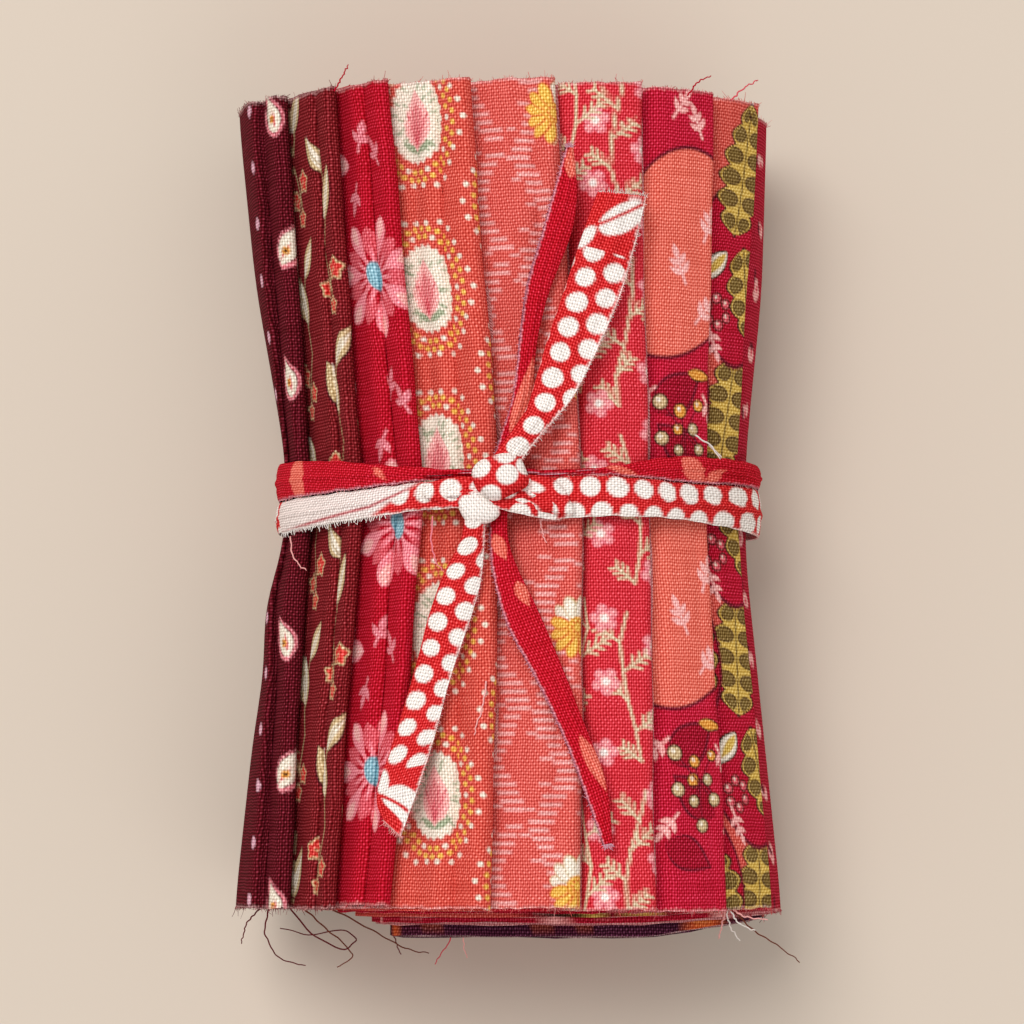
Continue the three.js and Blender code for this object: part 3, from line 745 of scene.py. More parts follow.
def print_coral_oval(chart):
    """Cream ovals with a rosy drop, ringed by fine dots."""
    rng = np.random.default_rng(3)
    for column in range(-2, 3):
        for v in rows_along(52.0 - 11.7 * (column % 2), 23.4):
            u = 10.2 + 15.6 * column
            for ring, (long, wide, count) in enumerate(((7.3, 5.5, 30), (8.4, 6.6, 34), (9.5, 7.7, 26))):
                for k in range(count):
                    angle = 2 * math.pi * (k + 0.5 * (ring % 2)) / count
                    reach = 1 + 0.05 * math.cos(6 * angle) * (ring == 2)
                    ink = INK["cream"] if ring == 2 or (ring == 0 and k % 3 == 0) else INK["yellow"]
                    chart.dot(u + reach * wide * math.cos(angle), v + reach * long * math.sin(angle), 0.37, ink)
            found, a, b = chart.near(u, v, 8)
            ragged = 0.16 * np.cos(24 * np.arctan2(b / 6.0, a / 4.3))
            chart.ink(found, oval(a, b, 6.0, 4.3, math.pi / 2) - ragged, INK["cream"])
            for _ in range(26):
                angle = rng.uniform(0, 2 * math.pi)
                reach = rng.uniform(0.5, 0.85)
                pu, pv = u + 4.0 * reach * math.cos(angle), v + 5.6 * reach * math.sin(angle)
                chart.stroke(pu, pv, pu + 0.7 * math.cos(angle), pv + 0.7 * math.sin(angle), 0.3, INK["sage"])
            chart.leaf(u, v - 4.4, math.pi / 2, 8.6, 4.2, INK["pale_pink"])
            chart.leaf(u, v - 3.8, math.pi / 2, 6.4, 2.8, INK["rose"] * 0.45 + INK["pale_pink"] * 0.55)
            for k in range(5):
                chart.stroke(u, v - 3.4, u + 0.85 * (k - 2), v + 1.8 - 0.5 * abs(k - 2), 0.22, INK["rose"])
            for side in (-1, 1):
                chart.leaf(u, v - 4.6, math.pi / 2 + side * 1.0, 3.0, 1.0, INK["sage"])


def small_sunflower(chart, u, v, turn):
    """A flower with cream petals above and yellow ones below."""
    found, a, b = chart.near(u, v, 6)
    for low, high, ink, edge in ((0.2, 3.4, INK["cream"], INK["beige"]),
                                 (3.4, 6.4, INK["yellow"], INK["orange"])):
        for angle in np.arange(low, high, 0.52) + turn:
            pu, pv = 2.7 * math.cos(angle), 2.7 * math.sin(angle)
            chart.ink(found, oval(a - pu, b - pv, 1.75, 0.95, angle), edge)
            chart.ink(found, oval(a - pu - 0.1, b - pv, 1.5, 0.72, angle), ink)
    chart.dot(u, v, 1.5, INK["ochre"])
    chart.dot(u + 0.1, v + 0.1, 1.1, INK["yellow"])
    for k in range(8):
        angle = 2 * math.pi * k / 8
        chart.dot(u + 0.8 * math.cos(angle), v + 0.8 * math.sin(angle), 0.2, INK["orange"])


def print_coral_dash(chart):
    """Clouds of short pale dashes, and small flowers along one side."""
    rng = np.random.default_rng(5)
    for column in range(-1, 3):
        for n, v in enumerate(rows_along(0.5 * column, 1.16)):
            swing = 2 * abs((v / 15.5 + 0.37 * column) % 1 - 0.5)
            u = 4.6 + 7.2 * column + 4.2 * (swing - 0.5) + rng.uniform(-0.3, 0.3)
            ink = INK["pale_pink"] * rng.uniform(0.85, 1.0)
            if swing > 0.06:
                chart.dash(u, v, rng.uniform(1.1, 1.9), 0.25, ink)
            if n % 3 == 0:
                chart.dash(u + 2.6, v + 0.5, rng.uniform(0.5, 0.9), 0.2, ink)
    for column in range(-1, 2):
        for n, v in enumerate(rows_along(52.5 + 9 * column, 35.5)):
            small_sunflower(chart, 0.9 + 19.2 * column, v, 0.5 * n)


def pink_flower(chart, u, v, size, turn):
    """A small five-petalled flower, pale in the middle."""
    tip = INK["pink"] * 0.5 + INK["pale_pink"] * 0.5
    for reach, wide, ink in ((0.62, 0.39, INK["pink"] * 0.9), (0.68, 0.24, tip)):
        for k in range(5):
            angle = turn + 2 * math.pi * k / 5
            pu, pv = u + reach * size * math.cos(angle), v + reach * size * math.sin(angle)
            chart.dot(pu, pv, wide * size, ink, 0.85)
    chart.dot(u, v, 0.4 * size, INK["pale_pink"])
    chart.dot(u, v, 0.25 * size, INK["white"])


def twig(chart, u, v, turn, length, colour):
    """A side twig with three pairs of blunt needles."""
    width = 0.36
    du, dv = math.cos(turn), math.sin(turn)
    chart.stroke(u, v, u + length * du, v + length * dv, width, colour)
    for part in (0.34, 0.63, 0.92):
        for side in (-1, 1):
            angle = turn + 0.8 * side
            reach = 1.75 - 0.75 * part
            pu, pv = u + part * length * du, v + part * length * dv
            chart.stroke(pu, pv, pu + reach * math.cos(angle), pv + reach * math.sin(angle), width, colour)


def print_red_twig(chart):
    """Winding beige stems with alternate twigs, and small pink flowers between them."""
    rng = np.random.default_rng(11)
    pale = INK["beige"] * 0.7 + INK["cream"] * 0.3
    step = 4.1
    for column in range(-1, 3):
        middle = 3.4 + 7.8 * column
        u = middle
        for n, v in enumerate(rows_along(2.0 * (column % 2), step)):
            way = 1 if n % 2 else -1
            after = middle + 1.6 * math.sin(v / 5.5 + 2.1 * column) + rng.uniform(-0.4, 0.4)
            if n % 6 != 5:
                chart.stroke(u, v, after, v + step, 0.4, pale)
                twig(chart, u, v, math.pi / 2 + way * rng.uniform(0.7, 1.05), rng.uniform(3.2, 4.4), pale)
            u = after
        for v in rows_along(3.4 + 4.9 * (column % 2), 9.8):
            pu, pv = middle + 4.2 + rng.uniform(-0.6, 0.6), v + rng.uniform(-1, 1)
            pink_flower(chart, pu, pv, 2.0, rng.uniform(0, 1))


def berry(chart, u, v, size, colour):
    """An outlined berry with a pale light."""
    chart.dot(u, v, size + 0.25, INK["brown"])
    chart.dot(u, v, size, colour)
    chart.dot(u + 0.25 * size, v + 0.3 * size, 0.35 * size, INK["cream"])


def print_crimson_petal(chart):
    """Large round coral petals edged in maroon, with leaves, sprigs and berries in the reds between them."""
    rng = np.random.default_rng(29)
    for column in range(-1, 3):
        for v in rows_along(34.0 - 24.5 * (column % 2), 49.0):
            u = 5.0 + 21.0 * column
            for du, dv, turn, size in ((4.6, -22, 2.5, 9.5), (-2.6, -29.5, 0.7, 9.0), (5.4, -33, 3.6, 8.0)):
                chart.leaf(u + du, v + dv, turn, size, size * 0.62, INK["maroon"])
                chart.leaf(u + du, v + dv, turn, size * 0.94, size * 0.52, INK["crimson"] * 0.72)
            found, a, b = chart.near(u, v, 26)
            body = oval(a, b, 14.5, 10.8, math.pi / 2 + 0.25) + 0.8 * np.sin(3 * np.arctan2(b, a) + 1)
            chart.ink(found, body - 0.42, INK["maroon"])
            chart.ink(found, body, INK["coral"])
            for du, dv, turn in ((-1.6, -9.5, 2.3), (0.4, -4.0, 1.2), (-2.8, 2.0, 1.9)):
                sprig(chart, u + du, v + dv, turn, 3.6, INK["pale_pink"], 2, 2.3, 0.45)
            chart.leaf(u - 0.6, v - 16.4, 3.3, 4.4, 1.9, INK["brown"])
            chart.leaf(u - 0.7, v - 16.4, 3.3, 4.0, 1.4, INK["ochre"])
            for k in range(9):
                angle = 0.4 + 2.4 * k
                reach = 1.4 + 0.62 * k
                pu, pv = u + 0.8 * reach * math.cos(angle), v - 25.0 + reach * math.sin(angle)
                chart.stroke(u, v - 25.0, pu, pv, 0.22, INK["maroon"])
                berry(chart, pu, pv, rng.uniform(0.62, 0.95), INK["beige"] if k % 3 else INK["ochre"])
            for du, dv, turn in ((-3.4, -19.5, 4.2), (3.6, -29.0, 5.4), (-4.2, -31.5, 4.0), (4.4, -18.6, 5.6),
                                 (-2.2, 16.4, 1.2), (2.8, 19.0, 2.2)):
                sprig(chart, u + du, v + dv, turn, 3.4, INK["pale_pink"], 2, 1.9, 0.4)


def lobed_leaf(chart, u, v, turn, length, width, lobes):
    """A leaf with a scalloped edge and a dark pad in each scallop."""
    du, dv = 0.5 * length * math.cos(turn), 0.5 * length * math.sin(turn)
    found, a, b = chart.near(u + du, v + dv, 0.75 * length + 1)
    p, q = turned(a + du, b + dv, turn)
    t = np.clip(p / length, 0, 1)
    half = width / 2 * np.sin(np.pi * t**0.75) ** 0.6 * (0.64 + 0.36 * np.abs(np.sin(np.pi * lobes * t)))
    body = np.maximum(np.abs(q) - half, np.abs(p - length / 2) - length / 2)
    chart.ink(found, body - 0.4, INK["brown"])
    chart.ink(found, body, INK["mustard"])
    step = length / lobes
    middle = (np.floor(p / step) + 0.5) * step
    out = 0.29 * width * np.sin(np.pi * np.clip(middle / length, 0, 1) ** 0.75) ** 0.6
    wide = 0.31 * step
    pad = (np.hypot((p - middle) / wide, (np.abs(q) - out) / (0.68 * out + 0.01)) - 1) * wide
    pad = np.maximum(pad, body + 0.5)
    chart.ink(found, pad - 0.2, INK["brown"])
    chart.ink(found, pad, INK["olive"])
    chart.ink(found, np.maximum(np.abs(q) - 0.14, body + 0.3), INK["brown"])


def print_mustard_leaf(chart):
    """Mustard scalloped leaves outlined dark, over coral and red grounds."""
    for column in range(-1, 4):
        for v in rows_along(47 - 17 * (column % 2), 34.0):
            u = 3.4 + 10.5 * column
            found, a, b = chart.near(u + 1, v - 15, 17)
            patch = oval(a, b, 12.5, 7.0, 1.4)
            chart.ink(found, patch - 0.4, INK["maroon"])
            chart.ink(found, patch, INK["crimson"])
            lobed_leaf(chart, u + 1.6, v - 9.0, 1.7, 19.0, 9.6, 6)
            lobed_leaf(chart, u - 1.0, v - 11.0, 4.5, 13.0, 7.6, 4)
            chart.leaf(u + 2.6, v - 11.5, 5.4, 6.4, 3.4, INK["brown"])
            chart.leaf(u + 2.7, v - 11.7, 5.4, 5.8, 2.7, INK["cream"])
            chart.leaf(u + 2.8, v - 11.9, 5.4, 4.4, 1.4, INK["mustard"])
            for k in range(6):
                angle = 0.4 + 1.05 * k
                berry(chart, u + 3.2 + 1.7 * math.cos(angle), v - 20.2 + 1.9 * math.sin(angle), 0.6, INK["rose"])
            sprig(chart, u + 4.6, v - 22.0, 4.4, 4.0, INK["pale_pink"], 2, 1.7, 0.36)


def print_red_blossom(chart):
    """Pale blotches in a loose half-drop."""
    rng = np.random.default_rng(17)
    for column in range(-3, 12):
        for v in rows_along(4.5 * (column % 2), 9.0):
            u = 2.2 + 6.8 * column + rng.uniform(-0.6, 0.6)
            for _ in range(4):
                pu, pv = u + rng.uniform(-0.8, 0.8), v + rng.uniform(-0.9, 0.9)
                chart.dot(pu, pv, rng.uniform(0.6, 1.0), INK["pale_pink"])
            chart.dot(u, v, 0.5, INK["rose"])
            chart.leaf(u + 1.4, v + 1.0, rng.uniform(0, 6), 2.4, 0.9, INK["maroon"])


def print_plum_orange(chart):
    """Orange petals and small leaves on a dark ground."""
    rng = np.random.default_rng(23)
    for column in range(-3, 10):
        for v in rows_along(8 * (column % 2), 16.0):
            u = 3.0 + 11.0 * column
            chart.petals(u, v, 6, 0.6, 6.4, 3.8, rng.uniform(0, 1), INK["orange"])
            chart.petals(u, v, 6, 0.8, 4.2, 0.9, rng.uniform(0, 1), INK["yellow"] * 0.8)
            chart.dot(u, v, 0.8, INK["maroon"])
            for k in range(3):
                pu, pv = u + 5.2 + rng.uniform(-1, 1), v + 8 + 2.4 * (k - 1)
                chart.leaf(pu, pv, rng.uniform(0, 6), 3.2, 1.1, INK["rose"])


PRINTS = {
    "burgundy_dot": print_burgundy_dot,
    "maroon_leaf": print_maroon_leaf,
    "crimson_daisy": print_crimson_daisy,
    "coral_oval": print_coral_oval,
    "coral_dash": print_coral_dash,
    "red_twig": print_red_twig,
    "crimson_petal": print_crimson_petal,
    "mustard_leaf": print_mustard_leaf,
    "red_blossom": print_red_blossom,
    "plum_orange": print_plum_orange,
}


# The weave's looks: how far its threads wander, in metres, and how closely; the scale of the slubs along the threads
# each way and their stretch; what slubs, rows, columns and slant give to the brightness painted into the colour, with
# its start and least value, as painted light and shade of the threads (lit crowns, shaded gaps between them and a
# slanting painted highlight) over the slubs' own uneven tone; the painted sheen, a pale painted highlight on the
# thread tops; and the bump's strength, its depth in metres and the slubs' share of it.
WEAVE = {"wander": 0.0003, "wander_scale": 420, "warp_slubs": 2600, "warp_stretch": 0.06, "weft_slubs": 2200,
         "weft_stretch": 0.05, "slubs": 0.72, "rows": 0.62, "columns": 0.68, "slant": 0.2, "start": -0.02,
         "least": 0.15, "painted_sheen": 0.005, "bump": 0.4, "depth": 0.00012, "slub_bump": 0.5}


def add_math(tree, kind, first, second=None):
    """A maths node of two values, each a socket or a number."""
    node = tree.nodes.new("ShaderNodeMath")
    node.operation = kind
    for socket, value in zip(node.inputs, (first, second)):
        if value is None:
            continue
        if isinstance(value, (int, float)):
            socket.default_value = value
        else:
            tree.links.new(value, socket)
    return node.outputs[0]


def cotton(name, sizes):
    """Printed plain-weave cotton: the print, the threads over and under each other, and their slubs, with painted
    light and shade of the threads and a painted sheen mixed into its colour.
    """
    material = bpy.data.materials.new(name)
    material.use_nodes = True
    tree = material.node_tree
    tree.nodes.clear()
    link = tree.links.new
    shade = tree.nodes.new("ShaderNodeBsdfPrincipled")
    out = tree.nodes.new("ShaderNodeOutputMaterial")
    link(shade.outputs[0], out.inputs[0])
    shade.inputs["Roughness"].default_value = 0.88
    shade.inputs["Specular IOR Level"].default_value = 0.03
    shade.inputs["Sheen Weight"].default_value = 0.05
    shade.inputs["Sheen Roughness"].default_value = 0.55
    flat = tree.nodes.new("ShaderNodeUVMap")
    flat.uv_map = "cloth"
    wander = tree.nodes.new("ShaderNodeTexNoise")
    wander.noise_dimensions = "2D"
    wander.inputs["Scale"].default_value = WEAVE["wander_scale"]
    wander.inputs["Detail"].default_value = 1.0
    link(flat.outputs[0], wander.inputs["Vector"])
    moved = tree.nodes.new("ShaderNodeVectorMath")
    moved.operation = "MULTIPLY_ADD"
    link(wander.outputs["Color"], moved.inputs[0])
    moved.inputs[1].default_value = (WEAVE["wander"], WEAVE["wander"], 0)
    link(flat.outputs[0], moved.inputs[2])
    axes = tree.nodes.new("ShaderNodeSeparateXYZ")
    link(moved.outputs[0], axes.inputs[0])
    warp_turn = add_math(tree, "MULTIPLY", axes.outputs[0], math.pi / sizes.warp_pitch)
    weft_turn = add_math(tree, "MULTIPLY", axes.outputs[1], math.pi / sizes.weft_pitch)
    across = add_math(tree, "COSINE", warp_turn)
    along = add_math(tree, "COSINE", weft_turn)
    crossing = add_math(tree, "MULTIPLY", across, along)
    height = add_math(tree, "POWER", add_math(tree, "ABSOLUTE", crossing), 0.6)
    slant = add_math(tree, "COSINE", add_math(tree, "ADD", warp_turn, weft_turn))
    columns = add_math(tree, "MULTIPLY", across, across)
    rows = add_math(tree, "MULTIPLY", along, along)

    def slubs(stretch, scale):
        mapping = tree.nodes.new("ShaderNodeMapping")
        mapping.inputs["Scale"].default_value = stretch
        link(flat.outputs[0], mapping.inputs[0])
        noise = tree.nodes.new("ShaderNodeTexNoise")
        noise.noise_dimensions = "2D"
        noise.inputs["Scale"].default_value = scale
        noise.inputs["Detail"].default_value = 1.0
        link(mapping.outputs[0], noise.inputs["Vector"])
        return noise.outputs[0]

    warp = slubs((1.0, WEAVE["warp_stretch"], 1.0), WEAVE["warp_slubs"])
    weft = slubs((WEAVE["weft_stretch"], 1.0, 1.0), WEAVE["weft_slubs"])
    thread = tree.nodes.new("ShaderNodeMix")
    link(add_math(tree, "GREATER_THAN", crossing, 0.0), thread.inputs["Factor"])
    link(warp, thread.inputs["A"])
    link(weft, thread.inputs["B"])
    # Painted light and shade of the threads: lit crowns, shaded gaps and a slanting highlight, over the slubs' uneven
    # tone.
    painted_light = WEAVE["start"]
    for value, part in ((thread.outputs[0], "slubs"), (rows, "rows"), (columns, "columns"), (slant, "slant")):
        painted_light = add_math(tree, "ADD", add_math(tree, "MULTIPLY", value, WEAVE[part]), painted_light)
    painted_light = add_math(tree, "MAXIMUM", painted_light, WEAVE["least"])
    ink = tree.nodes.new("ShaderNodeAttribute")
    ink.attribute_name = "print"
    # Painted shade: where the painted light is low the print turns deeper and darker, where it is high paler.
    deep = tree.nodes.new("ShaderNodeGamma")
    link(ink.outputs["Color"], deep.inputs["Color"])
    link(add_math(tree, "SUBTRACT", 1.5, add_math(tree, "MULTIPLY", painted_light, 0.5)), deep.inputs["Gamma"])
    tint = tree.nodes.new("ShaderNodeVectorMath")
    tint.operation = "MULTIPLY_ADD"
    link(deep.outputs[0], tint.inputs[0])
    link(add_math(tree, "ADD", 0.5, add_math(tree, "MULTIPLY", painted_light, 0.5)), tint.inputs[1])
    # Painted sheen: a pale painted highlight added on the thread tops.
    link(add_math(tree, "MULTIPLY", height, WEAVE["painted_sheen"]), tint.inputs[2])
    link(tint.outputs[0], shade.inputs["Base Color"])
    link(tint.outputs[0], shade.inputs["Sheen Tint"])
    bump = tree.nodes.new("ShaderNodeBump")
    bump.inputs["Strength"].default_value = WEAVE["bump"]
    bump.inputs["Distance"].default_value = WEAVE["depth"]
    relief = add_math(tree, "ADD", height, add_math(tree, "MULTIPLY", thread.outputs[0], WEAVE["slub_bump"]))
    link(relief, bump.inputs["Height"])
    link(bump.outputs[0], shade.inputs["Normal"])
    return material


def settle(piece, node, flat):
    """Puts a made cloth in the place of its solid."""
    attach(piece, "root")
    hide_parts(node)


class BUNDLE_OT_cloths(bpy.types.Operator):
    """Fold, wind and print the ten cloths"""

    bl_idname = "bundle.cloths"
    bl_label = "Cloths"

    def execute(self, context):
        sizes = context.scene.bundle_sizes
        form = RollForm(sizes)
        for index, row in enumerate(CLOTHS):
            self.make(context, form, sizes, index, row)
        return {"FINISHED"}

    def make(self, context, form, sizes, index, row):
        cloth = Cloth(form, index)
        parts = MeshParts()
        fine = np.linspace(0, 1, int(form.cut / row["along"]) + 1)
        coarse = np.linspace(0, 1, int(form.cut / COARSE["along"]) + 1)
        shown = cloth.shown
        whole = slice(0, len(cloth.part))
        face, flat = cloth.surface(coarse, 1, whole)
        back, _ = cloth.surface(coarse, -1, whole)
        for pick in (slice(0, shown.start + 1), slice(shown.stop - 1, None)):
            parts.grid(face[pick], flat[pick])
        points, near = cloth.surface(fine, 1, shown)
        raw = raw_edge(np.minimum(fine, 1 - fine) * form.cut, near[..., 0], 130 + index, 1.2, 0.6)
        parts.grid(points, near, 0.85 * raw)
        parts.grid(back, flat, wrong=1.0, turned=True)
        for end, flip in ((0, False), (-1, True)):
            rim = np.stack([back[:, end], face[:, end]], 1)
            parts.grid(rim, np.stack([flat[:, end]] * 2, 1), wrong=0.5, turned=flip)
        points, quads, flat, wrong = parts.gathered()
        chart = Chart(flat, from_screen(getattr(context.scene.bundle_colours, row["name"])))
        PRINTS[row["name"]](chart)
        pale = chart.rgb * 0.5 + INK["wrong_side"] * 0.5
        colours = chart.rgb + (pale - chart.rgb) * wrong[:, None]
        material = cotton(row["name"] + "_cotton", sizes)
        made = make_object(row["name"] + "_cloth", points, quads, flat, colours, material)
        settle(made, row["name"], (sizes.cut_length, self.sheet_length(cloth) * MM))

    def sheet_length(self, cloth):
        points, _ = cloth.surface(np.array([0.5]), 1, slice(0, len(cloth.part)))
        return float(np.linalg.norm(np.diff(points[:, 0], axis=0), axis=1).sum())


# The tie: one row for each place across the top, in millimetres: the upper edge of the plain strip, the line
# where the two strips meet and the lower edge of the dotted one.
TIE_EDGES = [
    {"x": -40, "upper": 7.2, "meet": 0.8, "lower": -4.0},
    {"x": -24, "upper": 5.1, "meet": 0.6, "lower": -3.6},
    {"x": -12, "upper": 3.4, "meet": 1.5, "lower": -2.4},
    {"x": -2, "upper": 3.0, "meet": 1.8, "lower": -2.2},
    {"x": 5, "upper": 2.8, "meet": 2.1, "lower": -4.0},
    {"x": 13, "upper": 3.5, "meet": 2.5, "lower": -3.1},
    {"x": 24, "upper": 5.7, "meet": 1.8, "lower": -3.2},
    {"x": 40, "upper": 6.0, "meet": 2.8, "lower": -4.8},
]
# The gap between the two strips, and their flat sizes in metres.
STRIP_GAP = 0.35
DOTTED_FLAT = (0.0125, 0.345)
PLAIN_FLAT = (0.0105, 0.315)
# The slack inside a strip's fold, the points across a strip with the middle one, the share of the layer under it that
# is meshed, and how many of the points are kept where they are hidden, one in so many.
FOLD_SLACK = 0.06
STRIP_POINTS = 25
MIDDLE = STRIP_POINTS // 2
UNDER_SHARE = 0.95
HIDDEN_SKIP = 3
# Places higher than this lie on the bundle's top.
TOP_SIDE = 24
# Points of the loop by places round the roll: left shoulder, top, right shoulder, right side, bottom, left side.
LOOP_STEPS = [
    {"start": 0.5, "stop": 1.0, "count": 90},
    {"start": 1.0, "stop": 2.0, "count": 110},
    {"start": 2.0, "stop": 2.5, "count": 90},
    {"start": 2.5, "stop": 3.0, "count": 60},
    {"start": 3.0, "stop": 4.0, "count": 30},
    {"start": 4.0, "stop": 4.5, "count": 60},
]
# The loop's rise under the knot: its middle, its height, and how far from it the loop rises fully and no more.
KNOT = {"x": -2.2, "rise": 2.0, "full": 4.5, "none": 11.0}
# The loop's gathers on top, by the knot, at the right shoulder and below, and how its dots draw together there.
GATHER = {"top": 0.16, "knot": 0.42, "shoulder": 0.25, "shoulder_x": 31, "shoulder_width": 5, "below": 0.15}
BUNCH = {"share": 0.5, "x": 22, "width": 8}
# How far the loop and the free ends stand off the cloths, their arch, the ends' turned-up edges and ripples, and
# the number of rows along an end.
LOOP_OFF = {"stand": 0.75, "arch": 0.5}
END_OFF = {"stand": 0.7, "arch": 0.8, "turn": 1.3, "ripple": 0.12}
END_ROWS = 190
# Millimetres between the dots along a strip, and their size as a share of the space between their rows.
DOT_STEP = 3.7
DOT_SHARE = 0.395

# The knot: the wrap on top, the bulge below it and the gathers to its right and left. Each row has its middle,
# its height over the waist, its half sizes, its turn in degrees, how square it is, how deep its creases are and
# how much it narrows towards one end.
LUMPS = [
    {"x": -1.0, "y": 2.0, "z": 4.4, "rx": 3.7, "ry": 3.0, "rz": 2.9, "turn": 16, "square": 0.74, "crease": 0.24,
     "drop": 0.0},
    {"x": -4.3, "y": -2.3, "z": 3.2, "rx": 3.1, "ry": 2.2, "rz": 1.7, "turn": -28, "square": 0.92, "crease": 0.1,
     "drop": 0.35},
    {"x": 4.2, "y": -0.5, "z": 2.6, "rx": 4.8, "ry": 2.7, "rz": 1.9, "turn": -9, "square": 0.86, "crease": 0.55,
     "drop": -0.15},
    {"x": -7.0, "y": 0.1, "z": 2.6, "rx": 4.4, "ry": 2.0, "rz": 1.6, "turn": 8, "square": 0.86, "crease": 0.45,
     "drop": 0.1},
]

# The free ends, a row for each section from the knot outwards: left and right edges, height over the cloths,
# arch across the strip, and how far its right edge turns up, or its left edge where that is below zero.
DOTTED_UP = [
    {"lx": -3.0, "ly": 3.2, "rx": 0.4, "ry": 1.8, "lift": 3.6, "arch": 1.1, "turn": 0.0},
    {"lx": -0.4, "ly": 7.0, "rx": 2.6, "ry": 5.4, "lift": 3.0, "arch": 1.3, "turn": 0.1},
    {"lx": 2.6, "ly": 11.0, "rx": 5.8, "ry": 9.2, "lift": 2.4, "arch": 1.2, "turn": 0.3},
    {"lx": 3.6, "ly": 14.0, "rx": 9.0, "ry": 12.9, "lift": 1.9, "arch": 0.8, "turn": 0.5},
    {"lx": 5.6, "ly": 21.0, "rx": 11.9, "ry": 18.8, "lift": 1.3, "arch": 0.7, "turn": 0.6},
    {"lx": 8.1, "ly": 28.2, "rx": 15.3, "ry": 26.4, "lift": 1.0, "arch": 0.6, "turn": 0.5},
    {"lx": 10.4, "ly": 35.2, "rx": 17.4, "ry": 33.4, "lift": 1.0, "arch": 0.6, "turn": 0.2},
    {"lx": 12.6, "ly": 41.3, "rx": 19.1, "ry": 41.0, "lift": 1.4, "arch": 0.4, "turn": 0.0},
]
DOTTED_DOWN = [
    {"lx": -5.9, "ly": -3.4, "rx": -3.2, "ry": -3.2, "lift": 2.4, "arch": 1.2, "turn": 0.0},
    {"lx": -6.3, "ly": -6.6, "rx": -3.2, "ry": -6.4, "lift": 1.7, "arch": 1.1, "turn": 0.0},
    {"lx": -8.9, "ly": -11.4, "rx": -3.6, "ry": -12.4, "lift": 1.0, "arch": 0.9, "turn": 0.0},
    {"lx": -10.9, "ly": -17.3, "rx": -5.4, "ry": -18.3, "lift": 0.6, "arch": 0.8, "turn": 0.1},
    {"lx": -12.5, "ly": -24.0, "rx": -7.8, "ry": -25.0, "lift": 0.5, "arch": 0.8, "turn": 0.1},
    {"lx": -15.4, "ly": -33.5, "rx": -9.9, "ry": -33.3, "lift": 0.4, "arch": 0.7, "turn": 0.0},
    {"lx": -18.3, "ly": -42.0, "rx": -12.0, "ry": -40.0, "lift": 0.4, "arch": 0.6, "turn": 0.0},
    {"lx": -17.0, "ly": -45.0, "rx": -14.6, "ry": -47.2, "lift": 0.5, "arch": 0.4, "turn": 0.0},
]
PLAIN_UP = [
    {"lx": -2.4, "ly": 2.6, "rx": 0.2, "ry": 2.6, "lift": 0.0, "arch": 0.6, "turn": 0.0},
    {"lx": -1.6, "ly": 6.2, "rx": 1.4, "ry": 6.2, "lift": 0.0, "arch": 0.7, "turn": 0.0},
    {"lx": 0.8, "ly": 13.2, "rx": 3.4, "ry": 13.2, "lift": 0.0, "arch": 0.9, "turn": 0.0},
    {"lx": 1.5, "ly": 20.2, "rx": 3.8, "ry": 20.6, "lift": 0.2, "arch": 0.9, "turn": -0.4},
    {"lx": 2.6, "ly": 28.6, "rx": 5.6, "ry": 28.0, "lift": 0.7, "arch": 0.8, "turn": -0.6},
    {"lx": 4.7, "ly": 35.4, "rx": 8.6, "ry": 35.0, "lift": 1.2, "arch": 0.7, "turn": -0.4},
    {"lx": 6.4, "ly": 41.6, "rx": 9.6, "ry": 41.0, "lift": 1.2, "arch": 0.6, "turn": -0.2},
    {"lx": 8.0, "ly": 47.4, "rx": 8.9, "ry": 47.4, "lift": 1.0, "arch": 0.3, "turn": 0.0},
]
PLAIN_DOWN = [
    {"lx": -2.4, "ly": 2.2, "rx": 0.2, "ry": 2.2, "lift": 0.0, "arch": 0.6, "turn": 0.0},
    {"lx": -2.6, "ly": -6.0, "rx": -0.4, "ry": -6.0, "lift": 0.0, "arch": 0.7, "turn": 0.0},
    {"lx": -2.2, "ly": -11.0, "rx": 1.2, "ry": -10.6, "lift": 0.3, "arch": 0.9, "turn": -0.2},
    {"lx": -0.4, "ly": -18.2, "rx": 4.2, "ry": -16.6, "lift": 0.6, "arch": 0.8, "turn": -0.4},
    {"lx": 3.6, "ly": -25.0, "rx": 7.4, "ry": -24.2, "lift": 0.6, "arch": 0.8, "turn": -0.5},
    {"lx": 8.0, "ly": -34.3, "rx": 11.2, "ry": -34.0, "lift": 0.5, "arch": 0.8, "turn": -0.5},
    {"lx": 10.8, "ly": -42.0, "rx": 13.8, "ry": -40.6, "lift": 0.4, "arch": 0.7, "turn": -0.3},
    {"lx": 13.0, "ly": -48.4, "rx": 14.1, "ry": -48.2, "lift": 0.4, "arch": 0.3, "turn": 0.0},
]


